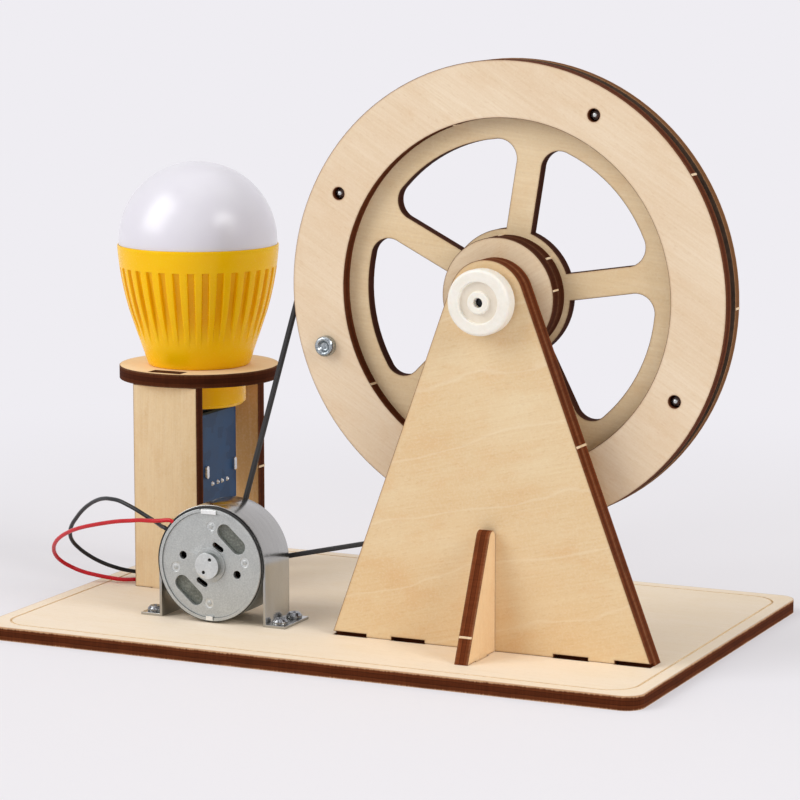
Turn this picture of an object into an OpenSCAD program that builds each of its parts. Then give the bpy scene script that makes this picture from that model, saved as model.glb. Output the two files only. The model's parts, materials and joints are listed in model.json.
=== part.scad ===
// Hand crank generator. A spoked plywood wheel is turned by a knob on its rim,
// a rubber belt in its groove drives a small can motor, and the motor's current
// lights a plug-in lamp through a boost board that hangs under the lamp.
// Millimetres, Z up, the front of the object towards -Y.

/* [Plywood] */
// Thickness of the laser-cut sheet
sheet = 3; // [2.6:0.1:3.6]
// Thickness of the spoked disc
disc_sheet = 2.7; // [2.3:0.1:3.6]
// Thickness of the back ring
back_sheet = 2.3; // [2:0.1:3.6]
// Gap around a tab in its slot
slot_gap = 0.2; // [0.1:0.05:0.4]

/* [Base] */
// Length of the base along X
base_length = 150; // [148:1:170]
// Depth of the base along Y
base_depth = 100; // [94:1:120]
// Corner radius of the base
base_corner = 4; // [2:0.5:6]
// Distance of the engraved border from the edge
border_inset = 3; // [2:0.5:5]
// Corner radius of the engraved border
border_corner = 6.5; // [3:0.5:8]
// Width of the engraved line
border_width = 0.5; // [0.3:0.1:0.8]
// Depth of the engraved line
border_deep = 0.3; // [0.2:0.1:0.6]

/* [Wheel stand] */
// Distance of the stand's middle from the base's right end
stand_end = 42.7; // [39:0.1:46]
// Distance of the stand's front face from the base's front edge
stand_front = 23.8; // [22:0.1:25]
// Width of the stand at its foot
stand_foot = 71.6; // [68:0.2:76]
// Shift of the stand's foot to the right of the axle
foot_shift = 0.8; // [-1:0.1:1.5]
// Height of the axle above the base
axle_height = 72.6; // [69:0.1:80]
// Radius of the stand's rounded top
stand_tip = 8.3; // [7.5:0.1:10]
// Width of each of the stand's tabs
stand_tab = 7.5; // [5:0.5:9]
// Distance from the middle to the inner tabs
tab_inner = 14.5; // [10:0.5:16]
// Distance from the foot's corners to the outer tabs
tab_corner = 0.4; // [0.2:0.1:2]
// Height of the dark notches in front of the stand's tabs
notch_high = 0.7; // [0.4:0.1:1]
// Depth of these notches
notch_deep = 1.6; // [1:0.1:2]
// Place of the gusset's middle, right of the stand's middle
gusset_shift = 0.8; // [-2:0.1:2]
// Depth of the gusset at its foot
gusset_depth = 14; // [12:0.5:18]
// Height of the gusset
gusset_height = 25.6; // [20:0.1:32]
// Radius of the gusset's rounded top
gusset_tip = 1.6; // [1:0.1:2.5]
// Length of the gusset's tab
gusset_tab = 6; // [4:0.5:8]

/* [Wheel] */
// Diameter over the two rings
wheel_d = 96.4; // [92:0.2:104]
// Width of the rings
ring_width = 11.8; // [10:0.2:14]
// Depth of the belt groove
groove_deep = 2.4; // [1.8:0.1:3]
// Number of spokes
spokes = 5; // [4:1:6]
// Width of a spoke
spoke_width = 5.6; // [4:0.2:8]
// Angle of the first spoke
spoke_start = 9; // [0:1:71]
// Rim of the disc that shows inside the rings
window_rim = 4.4; // [3:0.1:6]
// Fillet of the windows' outer corners
window_fillet = 4; // [2:0.5:5]
// Diameter of the hub discs
hub_d = 24.6; // [22:0.2:28]
// Part of the disc's middle that shows round the hub
hub_step = 1.3; // [0.8:0.1:2]
// Gap between the stand and the hub
hub_gap = 0.4; // [0.3:0.1:1.2]
// Angle of the first rim screw
screw_start = 62.5; // [40:0.5:80]
// Shank diameter of the rim screws
screw_d = 2; // [1.6:0.1:2.4]
// Head diameter of the rim screws
screw_head_d = 4; // [3.4:0.1:5]
// Head height of the rim screws
screw_head = 1.4; // [1:0.1:2]
// Depth of the screw tips below the front ring's face
tip_recess = 0.4; // [0.3:0.1:1.5]
// Hole diameter that shows round the screw tips
tip_hole_d = 2.6; // [2.5:0.1:3.2]

/* [Crank] */
// Angle of the crank on the wheel
crank_angle = 197.5; // [190:0.5:205]
// Thread diameter of the crank bolt
bolt_d = 2.5; // [2:0.1:3]
// Head diameter of the crank bolt
bolt_head_d = 4.4; // [4:0.1:5.5]
// Head height of the crank bolt
bolt_head = 1.9; // [1.5:0.1:2.2]
// Diameter of the crank knob
knob_d = 5.8; // [5:0.1:7]
// Length of the crank knob
knob_length = 10; // [8:0.5:14]
// Width over the flats of the crank nut
nut_flats = 5; // [4.6:0.1:5.5]
// Thickness of the crank nut
nut_thick = 2; // [1.6:0.1:2.4]

/* [Axle] */
// Diameter of the axle
axle_d = 2; // [1.8:0.1:2.5]
// Radial running clearance of pins and shafts
running = 0.05; // [0.02:0.01:0.08]
// End gap between turning and fixed pieces
end_gap = 0.3; // [0.2:0.05:0.4]
// Flange diameter of the collars
collar_d = 13.6; // [11:0.2:15]
// Flange thickness of the collars
collar_flange = 3.7; // [3:0.1:4.5]
// Length of the collars' sleeve behind the flange
sleeve_length = 0.5; // [0.3:0.1:2]
// Sleeve diameter of the collars
sleeve_d = 8; // [7:0.1:9]
// Diameter of the ring-shaped recess in a collar
recess_d = 8.6; // [7:0.1:9.5]
// Diameter of the boss inside the recess
boss_d = 4.6; // [4:0.1:5.5]
// Depth of the recess
recess_deep = 0.8; // [0.5:0.1:1.5]
// Depth of the axle's ends inside the collars
axle_sunk = 1.6; // [0.4:0.1:1.8]

/* [Belt] */
// Thickness of the belt
belt_thick = 1; // [0.8:0.1:1.4]
// Width of the belt
belt_wide = 1.2; // [1:0.1:1.6]
// Gap between the belt and its grooves
belt_gap = 0.15; // [0.1:0.05:0.3]

/* [Motor] */
// Distance between the motor's shaft and the wheel's axle along X
motor_reach = 63.3; // [62:0.1:66]
// Diameter of the motor can
motor_d = 24.4; // [23.4:0.1:25.4]
// Length of the motor can
motor_length = 12.3; // [11.5:0.1:14]
// Wall of the motor can
can_wall = 0.7; // [0.5:0.05:1]
// Gap between the can and the base
motor_gap = 0.4; // [0.2:0.1:0.8]
// Diameter of the motor shaft
shaft_d = 2; // [1.8:0.1:2.2]
// Outer diameter of the bearings
bearing_d = 4; // [3.6:0.1:4.4]
// Thickness of the end plate
plate_thick = 1; // [0.8:0.1:1.3]
// Depth of the end plate inside the can's rim
plate_recess = 0.3; // [0.2:0.1:0.5]
// Diameter of the bearing cup on the end plate
cup_d = 5.6; // [5.2:0.1:6.4]
// Height of the bearing cup above the end plate
cup_high = 1.6; // [1.2:0.1:2]
// Groove diameter of the motor pulley
pulley_groove_d = 3.4; // [3:0.1:5]
// Flange diameter of the motor pulley
pulley_d = 6; // [5.5:0.1:8]
// Length of the motor pulley
pulley_length = 3; // [2.6:0.1:4]
// Wall of the magnet ring
magnet_wall = 2.2; // [1.5:0.1:2.6]
// Air gap between magnets and armature
air_gap = 0.4; // [0.3:0.05:0.6]
// Stack length of the armature
stack_length = 5; // [4:0.2:6]

/* [Bracket] */
// Thickness of the strap
strap = 0.6; // [0.4:0.1:1]
// Width of the strap
strap_wide = 11.2; // [9:0.1:11.5]
// Length of the strap's feet
foot_length = 4.6; // [4.2:0.1:6]
// Head diameter of the bracket screws
bracket_head_d = 3.4; // [3:0.1:4]
// Head height of the bracket screws
bracket_head = 1.2; // [0.8:0.1:1.6]
// Shank diameter of the bracket screws
bracket_screw_d = 1.6; // [1.4:0.1:2]
// Distance between the two screws of a foot
bracket_pitch = 6.6; // [5:0.1:7]

/* [Lamp stand] */
// Distance of the lamp from the base's left end
lamp_end = 19.2; // [18:0.1:21]
// Place of the lamp along Y
lamp_y = 14; // [10:0.5:18]
// Width of the panels
panel_width = 16; // [14:0.5:20]
// Height of the panels
panel_height = 46; // [42:0.5:52]
// Clear distance between the panels
panel_gap = 26.6; // [25:0.2:28]
// Width of the panels' tabs
panel_tab = 7.6; // [5:0.2:10]
// Diameter of the round plate
plate_d = 36; // [35:0.5:40]

/* [Lamp] */
// Largest diameter of the lamp's shell
bulb_d = 36.4; // [34:0.2:38]
// Diameter of the shell where it stands on the plate
bulb_foot_d = 22.8; // [22:0.2:24]
// Diameter of the shell where its cone becomes round
cone_d = 31; // [29:0.2:31.6]
// Height of the shell's cone
cone_high = 12.1; // [11:0.1:14]
// Height of the shell
shell_high = 27.3; // [25:0.1:30]
// Radius of the shell's curve between the cone and the seam
shell_arc = 68; // [60:1:90]
// Wall of the shell
shell_wall = 2.6; // [2.2:0.1:3]
// Number of grooves round the shell
groove_count = 33; // [24:1:36]
// Angle of the first rib between the grooves
groove_start = 3.8; // [0:0.1:11]
// Width of the grooves
groove_wide = 1.55; // [1.2:0.05:1.8]
// Height where the grooves start
groove_low = 5.2; // [4.5:0.1:8]
// Height where the grooves end
groove_top = 22.4; // [20:0.1:23]
// Depth of the grooves at their top
groove_cut = 0.8; // [0.5:0.1:1.2]
// Diameter of the neck that goes through the plate
neck_d = 21; // [19:0.1:21.4]
// Length of the neck below the plate's top
neck_length = 9; // [7:0.1:10]
// Chamfer of the neck
neck_chamfer = 0.8; // [0.4:0.1:1.2]
// Lip of the shell round the dome
dome_lip = 0.35; // [0.2:0.05:0.6]
// Straight part of the dome above the seam
dome_skirt = 0.6; // [0.3:0.1:1.5]
// Wall of the dome
dome_wall = 1.4; // [1:0.1:1.8]
// Thickness of the LED board
led_board_thick = 1.2; // [0.8:0.1:1.6]

/* [Board] */
// Width of the lamp's USB plug
plug_wide = 12; // [11.8:0.1:12.2]
// Thickness of the USB plug
plug_thick = 4.5; // [4.3:0.1:4.7]
// Length of the USB plug below the neck
plug_length = 13.5; // [12.5:0.1:15]
// Gap between the plug and its socket
plug_gap = 0.15; // [0.1:0.05:0.2]
// Width of the USB socket
socket_wide = 13.2; // [13:0.1:14]
// Thickness of the USB socket
socket_thick = 6.8; // [6.2:0.1:7.2]
// Length of the USB socket
socket_length = 14; // [13:0.1:15]
// Distance from the neck to the socket's mouth
socket_drop = 3; // [2:0.1:4]
// Thickness of the boost board
board_thick = 1.6; // [1:0.1:2]
// Width of the boost board
board_wide = 16; // [15:0.5:18]
// Height of the boost board
board_high = 21; // [20:0.5:24]
// Board below the socket
board_low = 5.5; // [5:0.1:7]

/* [Wires] */
// Diameter of the two motor wires
wire_d = 1.15; // [1:0.05:1.3]

/* [Hidden] */
$fn = 96;
eps = 0.5;
// Straight edges end this far inside the arcs that they run into, so that outlines close cleanly
tuck = 0.01;

stand_x = base_length / 2 - stand_end;
motor_x = stand_x - motor_reach;
stand_y = stand_front - base_depth / 2;
lamp_x = lamp_end - base_length / 2;
axle_z = sheet + axle_height;
stand_thick = 2 * disc_sheet;
foot_x = stand_x + foot_shift;
wheel_r = wheel_d / 2;
ring_inner = wheel_r - ring_width;
rim_mid = wheel_r - ring_width / 2;
disc_r = wheel_r - groove_deep;
window_outer = ring_inner - window_rim;
window_inner = hub_d / 2 + hub_step;
step = 360 / spokes;

// Planes of the wheel's layers, from the stand to the back
hub_y = stand_y + stand_thick + hub_gap;
ring_y = hub_y + sheet;
disc_y = ring_y + sheet;
back_y = disc_y + disc_sheet;
wheel_end = back_y + back_sheet;
belt_y = disc_y + disc_sheet / 2;
collar_y = stand_y - end_gap;
collar_length = collar_flange + sleeve_length;

// The crank knob turns on the bolt between the back ring and the nut
crank_x = stand_x + rim_mid * cos(crank_angle);
crank_z = axle_z + rim_mid * sin(crank_angle);
knob_y = wheel_end + end_gap;
nut_y = knob_y + knob_length + end_gap;

// The motor sits so that its pulley lies in the plane of the belt groove
motor_z = sheet + motor_gap + motor_d / 2;
boss_high = 0.8;
motor_front = belt_y - pulley_length / 2 - end_gap - boss_high;
motor_rear = motor_front - motor_length;
plate_y = motor_rear + plate_recess;
can_r = motor_d / 2;
can_inner = can_r - can_wall;
magnet_outer = can_inner - 0.05;
magnet_inner = magnet_outer - magnet_wall;
core_r = magnet_inner - air_gap;
core_y = (plate_y + plate_thick + motor_front) / 2 - stack_length / 2 + 0.6;
shaft_rear = plate_y - cup_high + 0.8;
strap_inner = can_r + 0.05;
strap_outer = strap_inner + strap;
strap_y = motor_front - strap_wide;
foot_mid = strap_outer + foot_length / 2;

// Belt loop: radii at its middle line, and the angle of its straight runs
belt_wheel_r = disc_r + belt_gap + belt_thick / 2;
belt_pulley_r = pulley_groove_d / 2 + belt_gap + belt_thick / 2;

// Heights of the lamp
plate_z = sheet + panel_height;
lamp_z = plate_z + sheet;
neck_z = lamp_z - neck_length;
seam_z = lamp_z + shell_high;
front_panel_y = lamp_y - panel_gap / 2 - sheet;
rear_panel_y = lamp_y + panel_gap / 2;
bulb_r = bulb_d / 2;
board_x = lamp_x + socket_thick / 2;
mouth_z = neck_z - socket_drop;
socket_z = mouth_z - socket_length;
board_z = socket_z - board_low;
pin_z = socket_z - 0.7;
shell_tab_z = socket_z + 2.4;

// Motor terminals, as angles round the can, and how far they stick out
terminal_angles = [136, 147];
terminal_out = 0.9;

// Wire routes from the motor's terminals to the boost board
red_route = [
    [-39.81, -27.5, 24.11], [-40.4, -27.5, 24.68], [-41.5, -27.5, 24.75], [-43.2, -27.3, 24.2],
    [-45.8, -26.8, 23.8], [-49, -25.8, 23.5],
    [-52, -25, 23], [-55.5, -24, 22.4], [-59, -22.9, 21.6], [-62.5, -21.8, 20.7],
    [-66, -20.6, 19.7], [-69.2, -19.2, 18.6], [-72.2, -17.6, 17.3], [-75, -15.9, 15.8],
    [-77.4, -14, 14.1], [-79.2, -11.9, 12.2], [-80.2, -9.6, 10.2], [-80.2, -7.2, 8.3],
    [-78.9, -5.2, 6.7], [-76.6, -3.6, 5.4], [-73.8, -2.3, 4.6], [-71, -1.4, 4.1],
    [-68.2, -0.7, 3.8], [-65.8, 0.4, 3.8], [-64, 2.4, 3.8], [-62.2, 4.6, 4.2],
    [-60.2, 7, 5.4], [-58.2, 9.2, 7.4], [-56.8, 10.8, 10], [-56, 11.8, 13], [-55.6, 12.2, 16],
    [-55.3, 12.4, 19], [-54.6, 12.4, 21.2], [-53.6, 12.4, 21.8], [-52.4, 12.4, 21.8]];
black_route = [
    [-41.27, -27.5, 22.27], [-41.99, -27.5, 22.73], [-43, -26.9, 22.8], [-44.2, -26, 23],
    [-46.3, -25, 23.6], [-48.1, -24.7, 24.3], [-50.9, -24.4, 25.5], [-53.3, -24, 26.3],
    [-55.6, -23.3, 26.8], [-58.2, -22.2, 26.8], [-61, -20.6, 26.4],
    [-64, -18.7, 25.4], [-67, -16.8, 23.9], [-69.9, -14.9, 22], [-72.6, -12.9, 19.8],
    [-75, -10.9, 17.6], [-76.8, -8.7, 15.4], [-77.8, -6.3, 13.1], [-77.6, -3.8, 10.9],
    [-76.6, -1.4, 8.9], [-74.8, 0.8, 7.1], [-72.4, 2.8, 5.7], [-69.8, 4.8, 4.7],
    [-67, 6.8, 4.2], [-64.2, 8.9, 4.4], [-61.6, 11, 5.4], [-59.4, 12.9, 7.4],
    [-57.6, 14.4, 10], [-56.4, 15.2, 13], [-55.6, 15.6, 16], [-55.3, 15.6, 19],
    [-54.6, 15.6, 21.2], [-53.6, 15.6, 21.8], [-52.4, 15.6, 21.8]];

// A flat outline in X and Z, extruded from the plane y towards the back
module upright(y, thick) {
    translate([0, y + thick, 0]) rotate([90, 0, 0]) linear_extrude(thick) children();
}

// A flat outline in Y and Z, extruded from the plane x to the right
module sideways(x, thick) {
    translate([x, 0, 0]) rotate([90, 0, 90]) linear_extrude(thick) children();
}

// Turns a piece built along Z so that it points to the back from the plane y
module along_y(x, y, z) {
    translate([x, y, z]) rotate([-90, 0, 0]) children();
}

module rounded(length, depth, r) {
    square([length - 2 * r, depth], center = true);
    square([length, depth - 2 * r], center = true);
    for (sx = [-1, 1], sy = [-1, 1])
        translate([sx * (length / 2 - r), sy * (depth / 2 - r)]) circle(r);
}

module stadium(a, b, width) {
    run = b - a;
    translate(a) rotate(atan2(run[1], run[0])) {
        translate([0, -width / 2]) square([norm(run), width]);
        circle(d = width);
        translate([norm(run), 0]) circle(d = width);
    }
}

// Tab places of the stand, as the near side of each tab from the stand's middle
tab_starts = [tab_inner, stand_foot / 2 - tab_corner - stand_tab];

module base_board() {
    color("#e9d3b0") difference() {
        linear_extrude(sheet) difference() {
            rounded(base_length, base_depth, base_corner);
            for (s = [-1, 1], t = tab_starts)
                translate([foot_x + s * (t + stand_tab / 2), stand_y + stand_thick / 2])
                    square([stand_tab + 2 * slot_gap, stand_thick + 2 * slot_gap], center = true);
            translate([stand_x + gusset_shift, stand_y - gusset_depth / 2])
                square([sheet + 2 * slot_gap, gusset_tab + 2 * slot_gap], center = true);
            for (y = [front_panel_y, rear_panel_y])
                translate([lamp_x, y + sheet / 2])
                    square([panel_tab + 2 * slot_gap, sheet + 2 * slot_gap], center = true);
            for (s = [-1, 1], t = [-1, 1])
                translate([motor_x + s * foot_mid,
                    strap_y + strap_wide / 2 + t * bracket_pitch / 2])
                    circle(d = bracket_screw_d);
        }
        translate([0, 0, sheet - border_deep]) linear_extrude(border_deep + eps) difference() {
            rounded(base_length - 2 * border_inset, base_depth - 2 * border_inset, border_corner);
            rounded(base_length - 2 * border_inset - 2 * border_width,
                base_depth - 2 * border_inset - 2 * border_width, border_corner - border_width);
        }
    }
}

// Where a side of the stand runs into its rounded top, for the left (-1) or right (1) side
function stand_touch(side) =
    let (run = stand_foot / 2 + side * foot_shift, round = stand_tip - tuck)
    let (lean = atan(run / axle_height) - asin(round / norm([run, axle_height])))
    [stand_x + side * round * cos(lean), axle_z + round * sin(lean)];

module wheel_stand() {
    half = stand_foot / 2;
    color("#e3c79b") difference() {
        upright(stand_y, stand_thick) difference() {
            union() {
                polygon([[foot_x - half, sheet], [foot_x + half, sheet], stand_touch(1),
                    stand_touch(-1)]);
                translate([stand_x, axle_z]) circle(stand_tip);
                for (s = [-1, 1], t = tab_starts)
                    translate([foot_x + s * (t + stand_tab / 2) - stand_tab / 2, slot_gap])
                        square([stand_tab, sheet + eps]);
            }
            translate([stand_x, axle_z]) circle(axle_d / 2 + running);
        }
        for (s = [-1, 1], t = tab_starts) {
            wide = t == tab_inner ? stand_tab : stand_tab + 2 * tab_corner;
            translate([foot_x + s * (t + wide / 2) - wide / 2, stand_y - eps, sheet - 1])
                cube([wide, eps + notch_deep, 1 + notch_high]);
        }
    }
}

module front_gusset() {
    toe = [stand_y - gusset_depth, sheet];
    mid = [stand_y - gusset_tip, sheet + gusset_height - gusset_tip];
    run = mid - toe;
    round = gusset_tip - tuck;
    lean = atan2(run[1], run[0]) + asin(round / norm(run)) + 90;
    color("#e3c79b") sideways(stand_x + gusset_shift - sheet / 2, sheet) {
        polygon([toe, [stand_y, sheet], [stand_y, mid[1]], mid,
            mid + round * [cos(lean), sin(lean)]]);
        translate(mid) circle(gusset_tip);
        translate([stand_y - gusset_depth / 2 - gusset_tab / 2, slot_gap])
            square([gusset_tab, sheet + eps]);
    }
}

module axle() {
    color("#8f9296") along_y(stand_x, collar_y - collar_length + axle_sunk, axle_z)
        cylinder(d = axle_d, h = back_y - collar_y + 2 * (collar_length - axle_sunk));
}

// A nylon collar, built with its face at z = 0 and its sleeve towards +Z
module collar() {
    difference() {
        rotate_extrude() polygon([[0, 0], [collar_d / 2 - 0.4, 0], [collar_d / 2, 0.4],
            [collar_d / 2, collar_flange - 0.3], [collar_d / 2 - 0.3, collar_flange],
            [sleeve_d / 2, collar_flange], [sleeve_d / 2, collar_length], [0, collar_length]]);
        translate([0, 0, -eps]) difference() {
            cylinder(d = recess_d, h = recess_deep + eps);
            cylinder(d = boss_d, h = recess_deep + eps);
        }
        translate([0, 0, -eps]) cylinder(r = axle_d / 2 + 0.01, h = collar_length + 2 * eps);
    }
}

module front_collar() {
    color("#f4f1ea") along_y(stand_x, collar_y - collar_length, axle_z) collar();
}

module rear_collar() {
    color("#f4f1ea") translate([stand_x, back_y + collar_length, axle_z])
        rotate([90, 0, 0]) collar();
}

// Screw places round the rim
module at_screws() {
    for (i = [0:3]) rotate(screw_start + 90 * i) translate([rim_mid, 0]) children();
}

module ring_outline(hole_d) {
    difference() {
        circle(wheel_r);
        circle(ring_inner);
        at_screws() circle(d = hole_d);
        rotate(crank_angle) translate([rim_mid, 0]) circle(d = bolt_d + 0.02);
    }
}

module wheel_front_ring() {
    color("#e8cfa6") upright(ring_y, sheet) translate([stand_x, axle_z]) ring_outline(tip_hole_d);
}

module wheel_back_ring() {
    color("#e8cfa6") upright(back_y, back_sheet) translate([stand_x, axle_z])
        ring_outline(screw_d + 0.02);
}

// One window of the disc, between the spokes at angles 0 and step
module window() {
    off = spoke_width / 2;
    reach = window_outer - window_fillet;
    turn = asin((off + window_fillet) / reach);
    along = reach * cos(turn);
    apex = off / sin(step / 2) * [cos(step / 2), sin(step / 2)];
    far = 2 * window_outer;
    difference() {
        union() {
            polygon([apex, [along, off], reach * [cos(turn), sin(turn)],
                reach * [cos(step - turn), sin(step - turn)],
                [along * cos(step) + off * sin(step), along * sin(step) - off * cos(step)]]);
            for (a = [turn, step - turn])
                rotate(a) translate([reach, 0]) circle(window_fillet + 2 * tuck);
            intersection() {
                circle(window_outer);
                polygon([[0, 0], far * [cos(turn), sin(turn)],
                    far * [cos(step - turn), sin(step - turn)]]);
            }
        }
        circle(window_inner);
    }
}

module spoked_disc() {
    color("#e3c79b") upright(disc_y, disc_sheet) translate([stand_x, axle_z]) difference() {
        circle(disc_r);
        for (i = [0:spokes - 1]) rotate(spoke_start + step * i) window();
        circle(axle_d / 2 + 0.01);
        at_screws() circle(d = screw_d + 0.02);
        rotate(crank_angle) translate([rim_mid, 0]) circle(d = bolt_d + 0.02);
    }
}

module hub_disc(y) {
    upright(y, sheet) translate([stand_x, axle_z]) difference() {
        circle(d = hub_d);
        circle(axle_d / 2 + 0.01);
    }
}

module hub_disc_front() { color("#e3c79b") hub_disc(hub_y); }

module hub_disc_rear() { color("#dcbf92") hub_disc(hub_y + sheet); }

// Pan-head screws through the three layers, heads at the back, tips sunk at the front
module wheel_screws() {
    grip = wheel_end - ring_y - tip_recess;
    color("#b9bcc0") translate([stand_x, wheel_end, axle_z]) rotate([90, 0, 0]) at_screws()
        rotate_extrude() polygon([[0, -screw_head], [screw_head_d / 2 - 0.5, -screw_head],
            [screw_head_d / 2, -screw_head + 0.5], [screw_head_d / 2, 0], [screw_d / 2, 0],
            [screw_d / 2, grip - 0.8], [0.35, grip], [0, grip]]);
}

module crank_bolt() {
    long = nut_y + nut_thick + 0.4 - ring_y;
    r = bolt_head_d / 2;
    color("#b9bcc0") along_y(crank_x, ring_y, crank_z)
        rotate_extrude() polygon([[0, -bolt_head + 0.8], [r * 0.35, -bolt_head + 0.8],
            [r * 0.6, -bolt_head + 0.1], [r * 0.65, -bolt_head], [r - 0.4, -bolt_head],
            [r, -bolt_head + 0.5], [r, 0], [bolt_d / 2, 0],
            [bolt_d / 2, long - 0.3], [bolt_d / 2 - 0.3, long], [0, long]]);
}

module crank_knob() {
    r = knob_d / 2;
    color("#f4f1ea") along_y(crank_x, knob_y, crank_z) difference() {
        rotate_extrude() polygon([[0, 0], [r - 0.5, 0], [r, 0.5], [r - 0.25, knob_length / 2],
            [r, knob_length - 0.8], [r - 0.8, knob_length], [0, knob_length]]);
        translate([0, 0, -eps]) cylinder(r = bolt_d / 2 + running, h = knob_length + 2 * eps);
    }
}

module crank_nut() {
    color("#b9bcc0") along_y(crank_x, nut_y, crank_z) difference() {
        cylinder(d = nut_flats / cos(30), h = nut_thick, $fn = 6);
        translate([0, 0, -eps]) cylinder(d = bolt_d + 0.02, h = nut_thick + 2 * eps);
    }
}

// The area inside the belt's middle line, grown by a distance on every side
module belt_area(grow) {
    span = [motor_x - stand_x, motor_z - axle_z];
    a = belt_wheel_r + grow;
    b = belt_pulley_r + grow;
    aim = atan2(span[1], span[0]);
    open = acos((a - b) / norm(span));
    up = [cos(aim - open), sin(aim - open)];
    down = [cos(aim + open), sin(aim + open)];
    translate([stand_x, axle_z]) {
        circle(a);
        polygon([(a - tuck) * up, span + (b - tuck) * up, span, span + (b - tuck) * down,
            (a - tuck) * down, [0, 0]]);
        translate(span) circle(b);
    }
}

module drive_belt() {
    color("#232323") upright(belt_y - belt_wide / 2, belt_wide) difference() {
        belt_area(belt_thick / 2);
        belt_area(-belt_thick / 2);
    }
}

module motor_can() {
    color("#b4b7b8") along_y(motor_x, motor_rear, motor_z) {
        difference() {
            union() {
                cylinder(r = can_r, h = motor_length);
                cylinder(d = bearing_d + 2.4, h = motor_length + boss_high);
            }
            translate([0, 0, -eps]) cylinder(r = can_inner, h = motor_length - can_wall + eps);
            cylinder(d = bearing_d, h = motor_length + boss_high + eps);
        }
        for (tab = [[-1, 3.6], [1, 1.6]])
            translate([-tab[1] / 2, tab[0] * (can_r - 0.65) - 0.45, -0.25])
                cube([tab[1], 0.9, plate_recess + 0.25]);
    }
}

module motor_end_plate() {
    color("#c3c6c5") along_y(motor_x, plate_y, motor_z) difference() {
        union() {
            cylinder(r = can_inner - 0.05, h = plate_thick);
            translate([0, 0, -0.25]) cylinder(d = cup_d + 1.8, h = 0.5);
            translate([0, 0, -cup_high]) cylinder(d = cup_d, h = cup_high + eps);
        }
        translate([0, 0, -cup_high + 0.6]) cylinder(d = bearing_d, h = cup_high + plate_thick);
        for (turn = [0, 180]) rotate(turn) {
            translate([0, 0, -eps]) linear_extrude(plate_thick + 2 * eps) {
                stadium([3.53, -7.4], [6.77, -4.5], 3.4);
                stadium([1.23, -4.4], [2.69, -3.5], 1.2);
                translate([6.5, 1.6]) circle(0.88);
            }
            for (a = [92, 172]) rotate(a) translate([8.4, 0, -eps]) difference() {
                cylinder(r = 1.05, h = eps + 0.15);
                cylinder(r = 0.5, h = eps + 0.15);
            }
            rotate(118) translate([1.6, 0, -cup_high - eps]) cylinder(r = 0.38, h = eps + 0.5);
        }
    }
}

module motor_magnets() {
    y = core_y - 0.8;
    color("#4a4a4c") upright(y, stack_length + 1.6) translate([motor_x, motor_z]) difference() {
        circle(magnet_outer);
        circle(magnet_inner);
        square([1.6, 2 * magnet_outer + 2], center = true);
    }
}

module motor_brushes() {
    y = plate_y + plate_thick;
    color("#b08a4a") for (s = [-1, 1])
        translate([motor_x + s * (commutator_r + 0.3) - 0.15, y, motor_z - 1.2])
            cube([0.3, commutator_length + 0.4, 2.4]);
}

// Commutator: radius and length behind the end plate
commutator_r = 2.1;
commutator_length = 1.4;

module bearing(length) {
    difference() {
        cylinder(d = bearing_d - 0.02, h = length);
        translate([0, 0, -eps]) cylinder(r = shaft_d / 2 + running, h = length + 2 * eps);
    }
}

module motor_front_bearing() {
    color("#b5893f") along_y(motor_x, motor_front - can_wall, motor_z)
        bearing(can_wall + boss_high);
}

module motor_rear_bearing() {
    color("#b5893f") along_y(motor_x, shaft_rear, motor_z)
        bearing(plate_y + plate_thick - shaft_rear);
}

module motor_terminals() {
    color("#c9b37a") for (a = terminal_angles)
        translate([motor_x, motor_rear + plate_recess + 0.1, motor_z]) rotate([0, -a, 0])
            translate([can_r, 0, -0.35]) cube([terminal_out, 0.5, 0.7]);
}

module motor_shaft() {
    color("#9a9da1") along_y(motor_x, shaft_rear + 0.1, motor_z)
        cylinder(d = shaft_d, h = belt_y + pulley_length / 2 + 0.4 - shaft_rear - 0.1);
}

stem = 3;
shoe = 1.4;

module armature_core() {
    color("#77797c") upright(core_y, stack_length) translate([motor_x, motor_z]) difference() {
        union() {
            circle(shaft_d / 2 + 1.6);
            for (a = [90, 210, 330]) rotate(a) {
                translate([0, -stem / 2]) square([core_r - shoe / 2, stem]);
                intersection() {
                    difference() { circle(core_r); circle(core_r - shoe); }
                    polygon([[0, 0], 2 * core_r * [cos(50), -sin(50)], [3 * core_r, 0],
                        2 * core_r * [cos(50), sin(50)]]);
                }
            }
        }
        circle(shaft_d / 2 + 0.01);
    }
}

module armature_winding() {
    inner = shaft_d / 2 + 2.4;
    half = stem / 2 + 0.9;
    outer = sqrt(pow(core_r - shoe, 2) - half * half) - 0.1;
    color("#b4623a") for (a = [90, 210, 330])
        translate([motor_x, core_y + stack_length / 2, motor_z]) rotate([0, -a, 0]) difference() {
            translate([inner, -stack_length / 2 - 1, -half])
                cube([outer - inner, stack_length + 2, 2 * half]);
            translate([0, -stack_length / 2 - 0.02, -stem / 2 - 0.02])
                cube([core_r, stack_length + 0.04, stem + 0.04]);
        }
}

module commutator() {
    color("#b5793f") along_y(motor_x, plate_y + plate_thick + 0.2, motor_z) difference() {
        cylinder(r = commutator_r, h = commutator_length);
        translate([0, 0, -eps]) cylinder(d = shaft_d + 0.02, h = commutator_length + 2 * eps);
    }
}

module motor_pulley() {
    r = pulley_d / 2;
    g = pulley_groove_d / 2;
    half = pulley_length / 2;
    flat = belt_wide / 2 + 0.1;
    color("#eeeae0") along_y(motor_x, belt_y, motor_z) difference() {
        rotate_extrude() polygon([[0, -half], [r, -half], [r, -half + 0.3], [g, -flat], [g, flat],
            [r, half - 0.3], [r, half], [0, half]]);
        cylinder(d = shaft_d + 0.02, h = pulley_length + 2, center = true);
    }
}

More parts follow.
